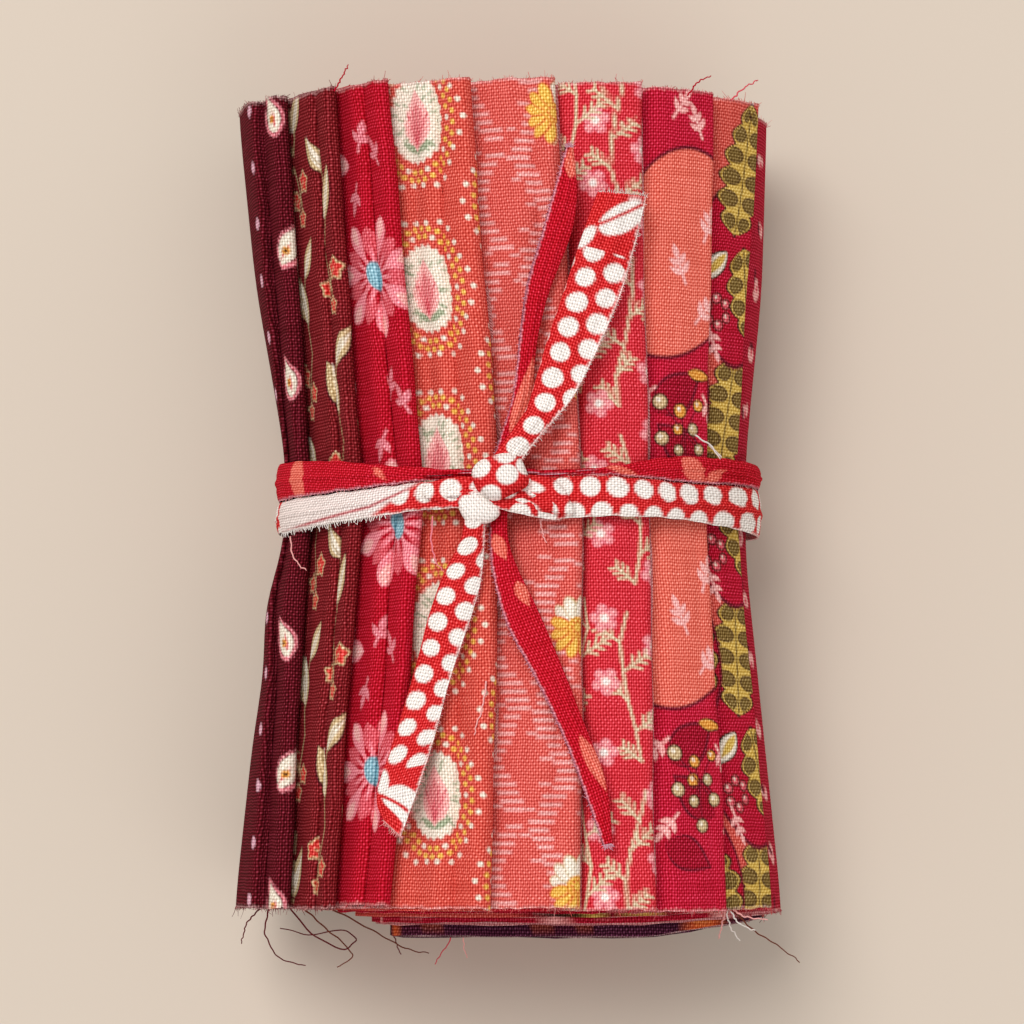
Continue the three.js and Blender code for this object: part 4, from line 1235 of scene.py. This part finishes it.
class TieParts(MeshParts):
    """Strips of cloth, folded along one edge, gathered into one mesh with their colours."""

    def __init__(self, thick, ground):
        super().__init__()
        self.thick = thick
        self.ground = ground
        self.colours = []

    def paint(self, since, painter, wrong_side, share=1.0):
        """Colours the grids from a number on: printed by the painter, and pale on their wrong side."""
        chart = Chart(np.concatenate(self.flat[since:]), self.ground)
        painter(chart, np.concatenate(self.points[since:]))
        pale = wrong_side * share + chart.rgb * (1 - share)
        wrong = np.concatenate(self.wrong[since:])[:, None]
        self.colours.append(chart.rgb + (pale - chart.rgb) * wrong)

    def keep(self, node, sizes, flat_size):
        """Makes the strip and puts it in the place of its solid."""
        points, quads, flat, _ = self.gathered()
        material = cotton(node + "_cotton", sizes)
        made = make_object(node + "_strip", points, quads, flat, np.concatenate(self.colours), material)
        settle(made, node, flat_size)

    def outward(self, points, up, closed):
        """The directions away from the bundle at the points of a strip."""
        along = np.roll(points, -1, 0) - np.roll(points, 1, 0) if closed else np.gradient(points, axis=0)
        out = np.cross(np.gradient(points, axis=1), along)
        out /= np.maximum(np.linalg.norm(out, axis=-1, keepdims=True), 1e-9)
        return out * np.sign((out[:, 1:-1] * up[:, None]).sum())

    def strip(self, points, flat, up, fold_first=False, closed=False):
        """A strip through rows of points across it, folded under at its first or last edge."""
        if fold_first:
            points, flat = points[:, ::-1], flat[:, ::-1]
        out = self.outward(points, up, closed)
        drop = 2 * self.thick + FOLD_SLACK
        edge, edge_out = points[:, -1], out[:, -1]
        side = edge - points[:, -2]
        side /= np.linalg.norm(side, axis=-1, keepdims=True)
        way = np.sign(flat[:, -1, 0] - flat[:, 0, 0]).mean()
        bend, bend_flat, bend_out = [], [], []
        for angle in np.radians((30, 60, 90, 120, 150)):
            turn = edge_out * math.cos(angle) + side * math.sin(angle)
            bend.append(edge + (turn - edge_out) * drop / 2)
            bend_out.append(turn)
            bend_flat.append(np.stack([flat[:, -1, 0] + way * drop / 2 * angle, flat[:, -1, 1]], -1))
        hidden = slice(0, int(UNDER_SHARE * points.shape[1]), HIDDEN_SKIP)
        under = (points - out * drop)[:, ::-1][:, hidden]
        under_flat = flat[:, ::-1][:, hidden].copy()
        under_flat[..., 0] = 2 * flat[:, -1:, 0] - under_flat[..., 0] + way * drop * math.pi / 2
        front = np.concatenate([points, np.stack(bend, 1), under], 1)
        flat = np.concatenate([flat, np.stack(bend_flat, 1), under_flat], 1)
        out = np.concatenate([out, np.stack(bend_out, 1), -out[:, ::-1][:, hidden]], 1)
        back = front - out * self.thick
        across = np.linalg.norm(np.diff(front, axis=1), axis=-1)
        from_edge = np.concatenate([np.zeros((len(front), 1)), np.cumsum(across, 1)], 1)
        raw = 0.9 * raw_edge(from_edge, flat[..., 1] + 0.7 * flat[..., 0], 350, 1.15, 0.55)
        facing = np.cross(np.gradient(front, axis=0), np.gradient(front, axis=1))
        turned = bool((facing * out).sum() < 0)
        self.grid(front, flat, raw, turned, closed)
        rows, columns = (np.unique([*range(0, count, HIDDEN_SKIP), count - 1]) for count in back.shape[:2])
        thin = np.ix_(rows, columns)
        self.grid(back[thin], flat[thin], 1.0, not turned, closed)
        for column, flip in ((0, turned), (-1, not turned)):
            rim = np.stack([front[:, column], back[:, column]], 1)
            self.grid(rim, np.stack([flat[:, column]] * 2, 1), 0.8, not flip, closed)
        if closed:
            return
        for row, flip in ((0, turned), (-1, not turned)):
            rim = np.stack([front[row], back[row]], 1)
            self.grid(rim, np.stack([flat[row]] * 2, 1), 0.8, flip)


def waist_loop(form):
    """Places across and up round the waist, with their outward directions, closer together where they show."""
    place = np.concatenate([
        np.linspace(row["start"], row["stop"], row["count"], endpoint=False) for row in LOOP_STEPS])
    proud = 0.8 * bell(np.mod(place, TURN) - 1.5, 0.75, 4)
    x, z = form.point(0 * place, place, form.radius + proud)
    dx = np.roll(x, -1) - np.roll(x, 1)
    dz = np.roll(z, -1) - np.roll(z, 1)
    size = np.hypot(dx, dz)
    return x, z, -dz / size, dx / size


def loop_points(form, low_column, high_column, rises):
    """Points of a strip round the waist and its flat coordinates, counted from its upper edge."""
    x, z, ox, oz = waist_loop(form)
    low = soft_line(TIE_EDGES, "x", low_column, x, 2.0) + (STRIP_GAP / 2 if low_column == "meet" else 0)
    high = soft_line(TIE_EDGES, "x", high_column, x, 2.0) - (STRIP_GAP / 2 if high_column == "meet" else 0)
    away = np.clip((np.abs(x - KNOT["x"]) - KNOT["full"]) / (KNOT["none"] - KNOT["full"]), 0, 1)
    near = 1 - away * away * (3 - 2 * away)
    on_top = z > form.radius
    rise = np.where(on_top & rises, KNOT["rise"] * near, 0)
    w = np.linspace(-1, 1, STRIP_POINTS)[None, :]
    y = (low + high)[:, None] / 2 + (high - low)[:, None] / 2 * w
    y = y + 0.12 * waver(x[:, None] + 0 * w, 300, 3.1, 5.3, 11) * np.abs(w) ** 3
    shoulder = GATHER["shoulder"] * bell(x - GATHER["shoulder_x"], GATHER["shoulder_width"])
    gather = np.where(on_top, GATHER["top"] + GATHER["knot"] * near + shoulder, GATHER["below"])[:, None]
    sway = 0.5 * waver(x[:, None] + 0 * w, 310 + int(rises), 9, 14, 23)
    fold = np.cos(2.6 * np.pi * (w + 0.25 * sway)) * 0.5 + 0.35 * np.cos(4.4 * np.pi * w + 2 * sway)
    off = STRIP_GAP + LOOP_OFF["stand"] + rise[:, None] + LOOP_OFF["arch"] * (1 - w**2)
    off = off + gather * fold * (1 - w**4)
    points = np.stack([x[:, None] + ox[:, None] * off, y, z[:, None] + oz[:, None] * off], -1)
    step = np.hypot(np.diff(x, append=x[:1]), np.diff(z, append=z[:1]))
    bunch = 1 - BUNCH["share"] * np.clip((x - BUNCH["x"]) / BUNCH["width"], 0, 1) * on_top
    v = np.concatenate([[0], np.cumsum(step * bunch)[:-1]])
    flat = np.stack([high[:, None] - y, v[:, None] + 0 * w], -1)
    return points, flat, np.stack([ox, 0 * ox, oz], -1)


def end_points(form, rows):
    """Points of a free end and its flat coordinates, counted from its left edge."""
    table = [dict(row, n=float(n)) for n, row in enumerate(rows)]
    at = np.linspace(0, len(rows) - 1, END_ROWS)
    column = {key: soft_line(table, "n", key, at, 0.3)[:, None] for key in rows[0]}
    for key in rows[0]:
        column[key][0], column[key][-1] = rows[0][key], rows[-1][key]
    t = np.linspace(0, 1, STRIP_POINTS)[None, :]
    w = 2 * t - 1
    x = column["lx"] + (column["rx"] - column["lx"]) * t
    y = column["ly"] + (column["ry"] - column["ly"]) * t
    edge = np.where(column["turn"] > 0, np.clip(w, 0, 1), np.clip(-w, 0, 1)) ** 4
    off = STRIP_GAP + END_OFF["stand"] + column["lift"] + END_OFF["arch"] * column["arch"] * (1 - w**2)
    off = off + END_OFF["turn"] * np.abs(column["turn"]) * edge
    sway = waver(at[:, None] + 0 * w, 330, 2.1, 3.7)
    off = off + END_OFF["ripple"] * np.cos(3 * np.pi * w + 3 * sway) * (1 - w**2)
    points = np.stack([x, y, form.top(x, y) + off], -1)
    width = np.hypot(column["rx"] - column["lx"], column["ry"] - column["ly"])
    middle = points[:, MIDDLE]
    v = np.concatenate([[0], np.cumsum(np.linalg.norm(np.diff(middle, axis=0), axis=1))])
    return points, np.stack([width * t, v[:, None] + 0 * t], -1), np.tile([0.0, 0.0, 1.0], (len(at), 1))


def lump_points(form, row):
    """A rounded, creased lump of the knot, open below."""
    angle = np.linspace(0, 2 * np.pi, 73)[:-1][:, None]
    up = np.linspace(0, 0.62 * np.pi, 34)[None, :]

    def rounded(value):
        return np.sign(value) * np.abs(value) ** row["square"]

    crease = 1 + row["crease"] * 0.22 * np.cos(3 * angle + 2.2 * np.cos(angle)) * np.sin(up) ** 2
    a = rounded(np.cos(angle)) * rounded(np.sin(up)) * row["rx"] * crease
    b = rounded(np.sin(angle)) * rounded(np.sin(up)) * row["ry"] * crease
    a = a * (1 + row["drop"] * b / row["ry"])
    c = rounded(np.cos(up)) * row["rz"] + 0 * angle
    fade = np.cos(np.minimum(up, 1.5))
    c = c - row["crease"] * 0.9 * bell(a + 0.35 * b + 0.3 * row["rx"], 0.55) * fade
    c = c - row["crease"] * 0.6 * bell(a - 0.25 * b - 0.62 * row["rx"], 0.5) * fade
    turn = math.radians(row["turn"])
    x = row["x"] + a * math.cos(turn) - b * math.sin(turn)
    y = row["y"] + a * math.sin(turn) + b * math.cos(turn)
    base = form.top(np.array([row["x"]]), np.array([row["y"]]))[0]
    return np.stack([x, y, base + row["z"] + c], -1)


def dot_rows(chart, first, ink, across=3.6):
    """Rows of large dots along a strip."""
    length = chart.v.max()
    for row in range(-2, 4):
        for n, v in enumerate(np.arange(-3 + 1.6 * (row % 2), length + 4, DOT_STEP)):
            size = DOT_SHARE * across + 0.06 * ((n * 7 + row) % 3 - 1)
            chart.oval(first + across * row, v, size, 0.96 * size, 0.6, ink, 0.18)


class BUNDLE_OT_tie_dotted(bpy.types.Operator):
    """Wind, knot and print the dotted strip"""

    bl_idname = "bundle.tie_dotted"
    bl_label = "Dotted tie"

    def execute(self, context):
        sizes = context.scene.bundle_sizes
        form = RollForm(sizes)
        parts = TieParts(sizes.strip / MM, from_screen(context.scene.bundle_colours.tie_dotted))

        def paint(since, painter):
            parts.paint(since, painter, INK["white"], 0.86)

        points, flat, up = loop_points(form, "lower", "meet", True)
        on_top = points[:, MIDDLE, 2] > form.radius
        order = np.argsort(points[on_top, MIDDLE, 0])
        loop_x, loop_v = points[on_top, MIDDLE, 0][order], flat[on_top, MIDDLE, 1][order]
        parts.strip(points, flat, up, closed=True)
        paint(0, self.print_loop)
        for rows, first, across in ((DOTTED_UP, 2.0, 3.6), (DOTTED_DOWN, 1.3, 3.2)):
            since = len(parts.flat)
            parts.strip(*end_points(form, rows), fold_first=True)
            paint(since, lambda chart, _, first=first, across=across: self.print_end(chart, first, across))
        for n, row in enumerate(LUMPS):
            since = len(parts.flat)
            points = lump_points(form, row)
            flat = np.stack([points[..., 0] - row["x"], points[..., 1] - row["y"]], -1)
            if n > 1:
                meet = soft_line(TIE_EDGES, "x", "meet", points[..., 0], 2.0)
                flat = np.stack([meet - points[..., 1], np.interp(points[..., 0], loop_x, loop_v)], -1)
            parts.grid(points, flat, turned=True, closed=True)
            paint(since, lambda chart, points, n=n: self.print_lump(chart, points, n))
        parts.keep("tie_dotted", sizes, DOTTED_FLAT)
        return {"FINISHED"}

    def print_loop(self, chart, points):
        """Dots on the right side; on the left the strip is turned, and its pale wrong side shows."""
        dot_rows(chart, 1.35, INK["white"])
        x, y, z = points.T
        found = np.flatnonzero(z > TOP_SIDE)
        x, y = x[found], y[found]
        turned_over = (x + 19.2) / 6.8 - (y + 3.0) / 4.5
        pale = INK["white"] * 0.9 + INK["pink"] * 0.1
        show = 0.5 + 0.5 * waver(chart.v[found] + 2 * chart.u[found], 360, 1.9, 3.1)
        chart.ink(found, turned_over * 3, pale * (1 - 0.12 * show[:, None]), 0.5)
        line = y - np.interp(x, [-31.8, -19.3, -13.2], [-3.9, -1.65, 0.8])
        chart.ink(found, np.maximum(np.abs(line) - 0.22, turned_over * 3), INK["crimson"], 0.25, 0.8)

    def print_end(self, chart, first, across):
        """Rows of dots, and a large leaf-shaped spot with a slanting line near the tip."""
        length = chart.v.max()
        dot_rows(chart, first, INK["white"], across)
        found = np.flatnonzero(chart.v > length - 8.4)
        chart.rgb[found] = chart.ground
        chart.oval(0.3, length - 7.0, 1.9, 0.9, 1.2, INK["white"])
        chart.oval(first + 2.2, length - 3.4, 3.3, 2.0, 0.75, INK["white"])
        chart.stroke(first - 0.6, length - 4.9, first + 5.0, length - 0.6, 0.5, chart.ground)

    def print_lump(self, chart, points, n):
        """Single dots on the wrap, a large spot on the bulge, and the loop's rows of dots on the gathers."""
        if n == 0:
            for u, v in ((0.9, 0.0), (-2.9, 1.0), (0.7, 2.9), (3.6, 1.4), (-1.4, -2.8)):
                chart.oval(u, v, 1.5, 1.36, 0.3, INK["white"])
        elif n == 1:
            chart.oval(0.3, -0.4, 3.0, 2.3, -0.5, INK["white"], 0.35)
        else:
            dot_rows(chart, 1.35, INK["white"])
        if n == 2:
            x, y = points[:, 0], points[:, 1]
            near = np.flatnonzero(x < 6.2)
            chart.rgb[near] = chart.ground
            for px, py, turn in ((2.7, 0.7, -0.25), (2.1, -1.9, -0.4)):
                chart.ink(near, oval(x[near] - px, y[near] - py, 2.3, 0.8, turn), INK["white"])


class BUNDLE_OT_tie_plain(bpy.types.Operator):
    """Wind and colour the plain strip"""

    bl_idname = "bundle.tie_plain"
    bl_label = "Plain tie"

    def execute(self, context):
        sizes = context.scene.bundle_sizes
        form = RollForm(sizes)
        parts = TieParts(sizes.strip / MM, from_screen(context.scene.bundle_colours.tie_plain))

        def paint(since, leaves):
            def painter(chart, _):
                for u, v, turn, long, wide in leaves:
                    chart.leaf(u, v, turn, long, wide, INK["coral"])

            parts.paint(since, painter, INK["plain_wrong_side"])

        points, flat, up = loop_points(form, "meet", "upper", False)
        across = points[:, MIDDLE, 0]
        along = flat[:, MIDDLE, 1]
        on_top = np.flatnonzero(points[:, MIDDLE, 2] > form.radius)

        def at(x):
            return float(along[on_top[np.argmin(np.abs(across[on_top] - x))]])

        parts.strip(points, flat, up, closed=True)
        paint(0, [(-1.0, at(-30.5), 0.2, 8.0, 4.0), (0.4, at(-19.0), 0.9, 2.6, 1.0), (-0.5, at(13.0), 1.1, 6.0, 0.9),
                  (0.2, at(24.5), 0.8, 5.0, 3.0), (3.4, at(28.0), 2.2, 3.0, 1.6)])
        for rows, leaves in ((PLAIN_UP, ((1.4, 5.5, 1.5, 11.0, 2.6), (1.6, 42.0, 1.5, 7.0, 3.0))),
                             (PLAIN_DOWN, ((0.6, 8.0, 1.2, 4.0, 2.0), (3.0, 15.0, 1.4, 4.0, 1.8),
                                           (2.2, 38.0, 1.5, 8.6, 2.0)))):
            since = len(parts.flat)
            parts.strip(*end_points(form, rows))
            paint(since, leaves)
        parts.keep("tie_plain", sizes, PLAIN_FLAT)
        return {"FINISHED"}


# Loose threads, in millimetres from the middle of the roll: at the near end, at the far end and by the tie,
# where the last number is a height over the cloths.
END_THREADS = [
    {"ink": "wine", "line": [(-33.5, -56.8, 30), (-34.6, -60.5, 27), (-33.0, -64.4, 22), (-29.0, -65.6, 19)]},
    {"ink": "wine", "line": [(-31.0, -56.8, 31), (-27.5, -61.2, 28), (-23.0, -63.4, 25), (-21.2, -61.6, 24),
                               (-23.6, -60.2, 24.5), (-28.0, -61.2, 24), (-32.4, -60.2, 23)]},
    {"ink": "umber", "line": [(-29.5, -56.8, 28), (-25.4, -60.4, 26), (-21.6, -64.0, 22), (-24.4, -65.8, 20)]},
    {"ink": "wine", "line": [(-34.4, -56.8, 26), (-37.2, -59.2, 23), (-38.2, -62.4, 19)]},
    {"ink": "umber", "line": [(-26.0, -56.8, 27), (-20.0, -60.0, 24), (-14.6, -63.2, 20), (-11.4, -63.8, 18)]},
    {"ink": "wine", "line": [(-16.0, -56.8, 25), (-16.4, -61.0, 22), (-15.4, -64.0, 18)]},
    {"ink": "rose", "line": [(-6.5, -57.0, 26), (-7.8, -61.2, 22), (-10.6, -65.4, 15)]},
    {"ink": "pale_pink", "line": [(-5.4, -57.0, 25), (-6.6, -61.0, 22), (-6.0, -64.4, 18)]},
    {"ink": "pale_pink", "line": [(30.5, -56.8, 35), (29.9, -59.4, 34), (29.6, -61.6, 30)]},
    {"ink": "white", "line": [(30.6, -56.8, 35), (32.0, -59.2, 34), (34.6, -60.4, 31)]},
    {"ink": "pale_pink", "line": [(30.8, -56.8, 35), (32.8, -58.4, 34), (36.4, -58.8, 32)]},
    {"ink": "white", "line": [(30.4, -56.8, 35), (30.9, -59.6, 33), (32.6, -61.8, 29)]},
    {"ink": "umber", "line": [(30.9, -56.8, 34), (34.2, -60.2, 30), (38.0, -62.4, 26), (41.6, -65.0, 21)]},
    {"ink": "crimson", "line": [(-24.2, 56.2, 45.4), (-23.0, 58.3, 45.6), (-22.3, 60.0, 44.8)]},
    {"ink": "crimson", "line": [(25.0, 55.8, 43.8), (26.4, 57.8, 44.0), (28.4, 58.8, 43.0)]},
    {"ink": "rose", "line": [(31.2, 55.6, 41.4), (33.0, 57.4, 41.4), (35.2, 58.8, 40.0)]},
]
TOP_THREADS = [
    {"ink": "pale_pink", "line": [(-31.0, -4.6, 2.2), (-30.6, -7.4, 2.5), (-29.5, -9.0, 2.2), (-28.4, -9.8, 1.9)]},
    {"ink": "pink", "line": [(-10.4, -3.2, 1.4), (-10.6, -7.2, 0.9), (-10.0, -9.4, 0.8), (-9.0, -10.8, 0.8)]},
    {"ink": "pale_pink", "line": [(4.4, -3.6, 1.4), (4.7, -5.4, 0.8), (5.2, -6.8, 0.7)]},
    {"ink": "white", "line": [(26.2, 8.8, 0.9), (28.4, 7.6, 1.6), (30.0, 5.6, 2.2), (31.4, 4.0, 1.6)]},
    {"ink": "white", "line": [(28.2, 7.6, 1.0), (30.2, 6.0, 1.8), (31.6, 2.4, 1.8)]},
    {"ink": "pale_pink", "line": [(-3.0, -26.0, 1.1), (-3.3, -29.0, 1.0), (-4.2, -31.6, 0.9), (-4.6, -33.4, 0.8)]},
]


# A loose thread's radius and waves, and the points over which the waves start, in millimetres.
LOOSE = {"radius": 0.13, "wave": 0.12, "start": 6}
# Fibres along the raw ends, in millimetres: how far over the floor they start, how far apart they are, their lengths
# and the share of each.
FIBRE_FLOOR = 1.0
FIBRE_STEP = 0.17
FIBRE_LENGTHS = [0.2, 0.35, 0.5, 1.2]
FIBRE_SHARES = [0.5, 0.3, 0.17, 0.03]


class ThreadParts(MeshParts):
    """Fine round threads gathered into one mesh, with the colour of each."""

    def __init__(self):
        super().__init__()
        self.colours = []

    def thread(self, line, radius, colour, sides):
        line = np.asarray(line, float)
        along = np.gradient(line, axis=0)
        along /= np.maximum(np.linalg.norm(along, axis=1, keepdims=True), 1e-9)
        side = np.cross(along, [0.31, 0.17, 0.93])
        side /= np.maximum(np.linalg.norm(side, axis=1, keepdims=True), 1e-9)
        up = np.cross(along, side)
        turn = 2 * np.pi * np.arange(sides) / sides
        thin = np.linspace(1.0, 0.6, len(line))[:, None, None] * radius
        ring = line[:, None] + thin * (np.cos(turn)[:, None] * side[:, None] + np.sin(turn)[:, None] * up[:, None])
        self.grid(np.swapaxes(ring, 0, 1), np.zeros((sides, len(line), 2)), closed=True)
        self.colours.append(np.repeat(np.asarray(colour)[None], sides * len(line), 0))


def smooth_line(corners, count):
    """A rounded line through the corners."""
    corners = np.asarray(corners, float)
    at = np.linspace(0, len(corners) - 1, count)
    rows = [dict(n=n, x=c[0], y=c[1], z=c[2]) for n, c in enumerate(corners)]
    line = np.stack([soft_line(rows, "n", key, at, 0.22) for key in "xyz"], -1)
    line[0], line[-1] = corners[0], corners[-1]
    return line


class BUNDLE_OT_threads(bpy.types.Operator):
    """Fray the raw edges and lay the loose threads"""

    bl_idname = "bundle.threads"
    bl_label = "Threads"

    def execute(self, context):
        sizes = context.scene.bundle_sizes
        colours = context.scene.bundle_colours
        form = RollForm(sizes)
        for index, row in enumerate(CLOTHS):
            parts = ThreadParts()
            self.fray_cloth(parts, Cloth(form, index), from_screen(getattr(colours, row["name"])), index)
            self.keep(parts, row["name"] + "_fray", row["name"])
        parts = ThreadParts()
        for n, row in enumerate(END_THREADS):
            self.loose(parts, smooth_line(row["line"], 40), row["ink"], n)
        self.keep(parts, "end_threads", "burgundy_dot")
        parts = ThreadParts()
        self.fray_tie(parts, form)
        for n, row in enumerate(TOP_THREADS):
            line = smooth_line(row["line"], 30)
            line[:, 2] += form.top(line[:, 0], line[:, 1])
            self.loose(parts, line, row["ink"], 50 + n)
        self.keep(parts, "tie_threads", "tie_dotted")
        return {"FINISHED"}

    def keep(self, parts, name, node):
        """Makes a mesh of threads and attaches it to the root."""
        points, quads, flat, _ = parts.gathered()
        material = bpy.data.materials.new(name)
        material.use_nodes = True
        tree = material.node_tree
        shade = tree.nodes["Principled BSDF"]
        shade.inputs["Roughness"].default_value = 0.9
        shade.inputs["Specular IOR Level"].default_value = 0.05
        ink = tree.nodes.new("ShaderNodeAttribute")
        ink.attribute_name = "print"
        tree.links.new(ink.outputs["Color"], shade.inputs["Base Color"])
        made = make_object(name, points, quads, flat, np.concatenate(parts.colours), material)
        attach(made, "root")

    def loose(self, parts, line, ink, seed):
        """One loose, wavy thread along a line."""
        t = np.arange(len(line)) * 0.4
        wave = np.stack([waver(t, first + seed, *lengths)
                         for first, *lengths in ((400, 2.2, 5.1), (430, 2.9, 4.3), (460, 3.3, 6.1))], -1)
        fade = np.minimum(1, np.arange(len(line)) / LOOSE["start"])[:, None]
        parts.thread(line + LOOSE["wave"] * wave * fade, LOOSE["radius"], INK[ink], 5)

    def fibre(self, parts, rng, start, way, length, colour, radius=0.05):
        """One short bent fibre."""
        way = np.asarray(way) + rng.normal(0, 0.45, 3)
        way = way / np.linalg.norm(way)
        bend = rng.normal(0, 0.25, 3)
        t = np.linspace(0, 1, 4)[:, None]
        parts.thread(start + length * (way * t + bend * t * t), radius * rng.uniform(0.7, 1.2), colour, 3)

    def fray_cloth(self, parts, cloth, ground, index):
        """Fibres along both raw ends of the part of a cloth that shows."""
        rng = np.random.default_rng(500 + index)
        pick = cloth.shown
        points = cloth.surface(np.array([0.0, 1.0]), 1, pick)[0]
        width = np.linalg.norm(np.diff(points[:, 0], axis=0), axis=1)
        arc = np.concatenate([[0], np.cumsum(width)])
        for column, way in ((0, -1.0), (1, 1.0)):
            for at in np.arange(0, arc[-1], FIBRE_STEP) + rng.uniform(-0.08, 0.08):
                start = np.array([np.interp(at, arc, points[:, column, k]) for k in range(3)])
                if start[2] < FIBRE_FLOOR:
                    continue
                start = start - [0, 0.12 * way, rng.uniform(0.0, 0.4)]
                pale = rng.uniform(0, 1) ** 2
                colour = ground * (1 - 0.7 * pale) + INK["pale_pink"] * 0.7 * pale
                length = rng.choice(FIBRE_LENGTHS, p=FIBRE_SHARES)
                self.fibre(parts, rng, start, (0, way, -0.1), length, colour)

    def fray_tie(self, parts, form):
        """Fibres along the raw edges of the loop and the free ends."""
        rng = np.random.default_rng(640)
        loop = loop_points(form, "lower", "meet", True)[0][:, 0]
        for at in loop[(loop[:, 2] > TOP_SIDE) & (loop[:, 0] < -17)]:
            self.fibre(parts, rng, at, (0, -2.2, -0.3), rng.uniform(0.35, 0.7), INK["white"], 0.09)
        loop = loop_points(form, "meet", "upper", False)[0][:, 0]
        for at in loop[loop[:, 2] > TOP_SIDE][::2]:
            self.fibre(parts, rng, at, (0, -1.0, 0.2), rng.uniform(0.2, 0.5), INK["pale_pink"])
        for rows, column, inks in ((DOTTED_UP, -1, ("white", "pale_pink")), (DOTTED_DOWN, -1, ("pale_pink", "rose")),
                                   (PLAIN_UP, 0, ("dusty_pink", "maroon")),
                                   (PLAIN_DOWN, 0, ("dusty_pink", "maroon"))):
            points = end_points(form, rows)[0]
            side = points[:, column] - points[:, MIDDLE]
            side /= np.linalg.norm(side, axis=1, keepdims=True)
            for at, way in zip(points[:, column], side):
                self.fibre(parts, rng, at, way, rng.uniform(0.2, 0.5), INK[inks[int(rng.integers(2))]])
            way = points[-1, MIDDLE] - points[-6, MIDDLE]
            for at in points[-1]:
                for _ in range(2):
                    self.fibre(parts, rng, at, way / np.linalg.norm(way), rng.uniform(0.3, 0.8), INK[inks[0]])


class BUNDLE_OT_stage(bpy.types.Operator):
    """Set the floor, the light and the camera"""

    bl_idname = "bundle.stage"
    bl_label = "Stage"

    def execute(self, context):
        scene = context.scene
        stage = scene.bundle_stage
        self.floor(scene, stage)
        self.lights(scene, stage)
        self.camera(scene, stage)
        scene.view_settings.view_transform = "Standard"
        return {"FINISHED"}

    def floor(self, scene, stage):
        mesh = bpy.data.meshes.new("floor")
        half = 3.0
        corners = [(-half, -half, 0), (half, -half, 0), (half, half, 0), (-half, half, 0)]
        mesh.from_pydata(corners, [], [(0, 1, 2, 3)])
        floor = bpy.data.objects.new("floor", mesh)
        scene.collection.objects.link(floor)
        material = bpy.data.materials.new("pale_floor")
        material.use_nodes = True
        shade = material.node_tree.nodes["Principled BSDF"]
        shade.inputs["Base Color"].default_value = (*from_screen(stage.floor), 1)
        shade.inputs["Roughness"].default_value = 0.7
        mesh.materials.append(material)

    def lights(self, scene, stage):
        world = bpy.data.worlds.new("room")
        scene.world = world
        world.use_nodes = True
        glow = world.node_tree.nodes["Background"]
        glow.inputs["Color"].default_value = (*WARM_WHITE, 1)
        glow.inputs["Strength"].default_value = stage.fill
        for name, place, size, power in (("key_light", (-0.52, 0.7, 1.7), 0.95, stage.key),
                                         ("side_light", (0.5, -0.8, 1.1), 0.9, 0.12 * stage.key)):
            lamp = bpy.data.lights.new(name, "AREA")
            lamp.size = size
            lamp.energy = power
            lamp.color = WARM_WHITE
            holder = bpy.data.objects.new(name, lamp)
            holder.location = place
            holder.rotation_mode = "QUATERNION"
            holder.rotation_quaternion = (-Vector(place)).to_track_quat("-Z", "Y")
            scene.collection.objects.link(holder)

    def camera(self, scene, stage):
        data = bpy.data.cameras.new("camera")
        data.sensor_width = 36
        data.lens = 36 * stage.distance / stage.frame_width
        data.clip_start = 0.01
        data.clip_end = 10
        camera = bpy.data.objects.new("camera", data)
        aim = Vector((AIM[0] - CENTRE[0], AIM[1] - CENTRE[1], AIM[2])) * MM
        back = Vector((0, -math.cos(stage.elevation), math.sin(stage.elevation)))
        camera.location = aim + back * stage.distance
        camera.rotation_mode = "QUATERNION"
        camera.rotation_quaternion = (-back).to_track_quat("-Z", "Y")
        scene.collection.objects.link(camera)
        scene.camera = camera


class BUNDLE_PT_panel(bpy.types.Panel):
    """Makers of the bundle's pieces"""

    bl_idname = "BUNDLE_PT_panel"
    bl_label = "Rolled bundle"
    bl_space_type = "VIEW_3D"
    bl_region_type = "UI"
    bl_category = "Bundle"

    def draw(self, context):
        for maker in MAKERS:
            self.layout.operator(maker.bl_idname)


SETTINGS = {"bundle_sizes": BundleSizes, "bundle_colours": BundleColours, "bundle_stage": BundleStage}
MAKERS = (BUNDLE_OT_cloths, BUNDLE_OT_tie_dotted, BUNDLE_OT_tie_plain, BUNDLE_OT_threads, BUNDLE_OT_stage)
CLASSES = (*SETTINGS.values(), *MAKERS, BUNDLE_PT_panel)


def register():
    for kind in CLASSES:
        bpy.utils.register_class(kind)
    for name, kind in SETTINGS.items():
        setattr(bpy.types.Scene, name, PointerProperty(type=kind))


def unregister():
    for name in SETTINGS:
        delattr(bpy.types.Scene, name)
    for kind in reversed(CLASSES):
        bpy.utils.unregister_class(kind)


def main():
    register()
    bpy.ops.bundle.cloths()
    bpy.ops.bundle.tie_dotted()
    bpy.ops.bundle.tie_plain()
    bpy.ops.bundle.threads()
    bpy.ops.bundle.stage()


if __name__ == "__main__":
    main()
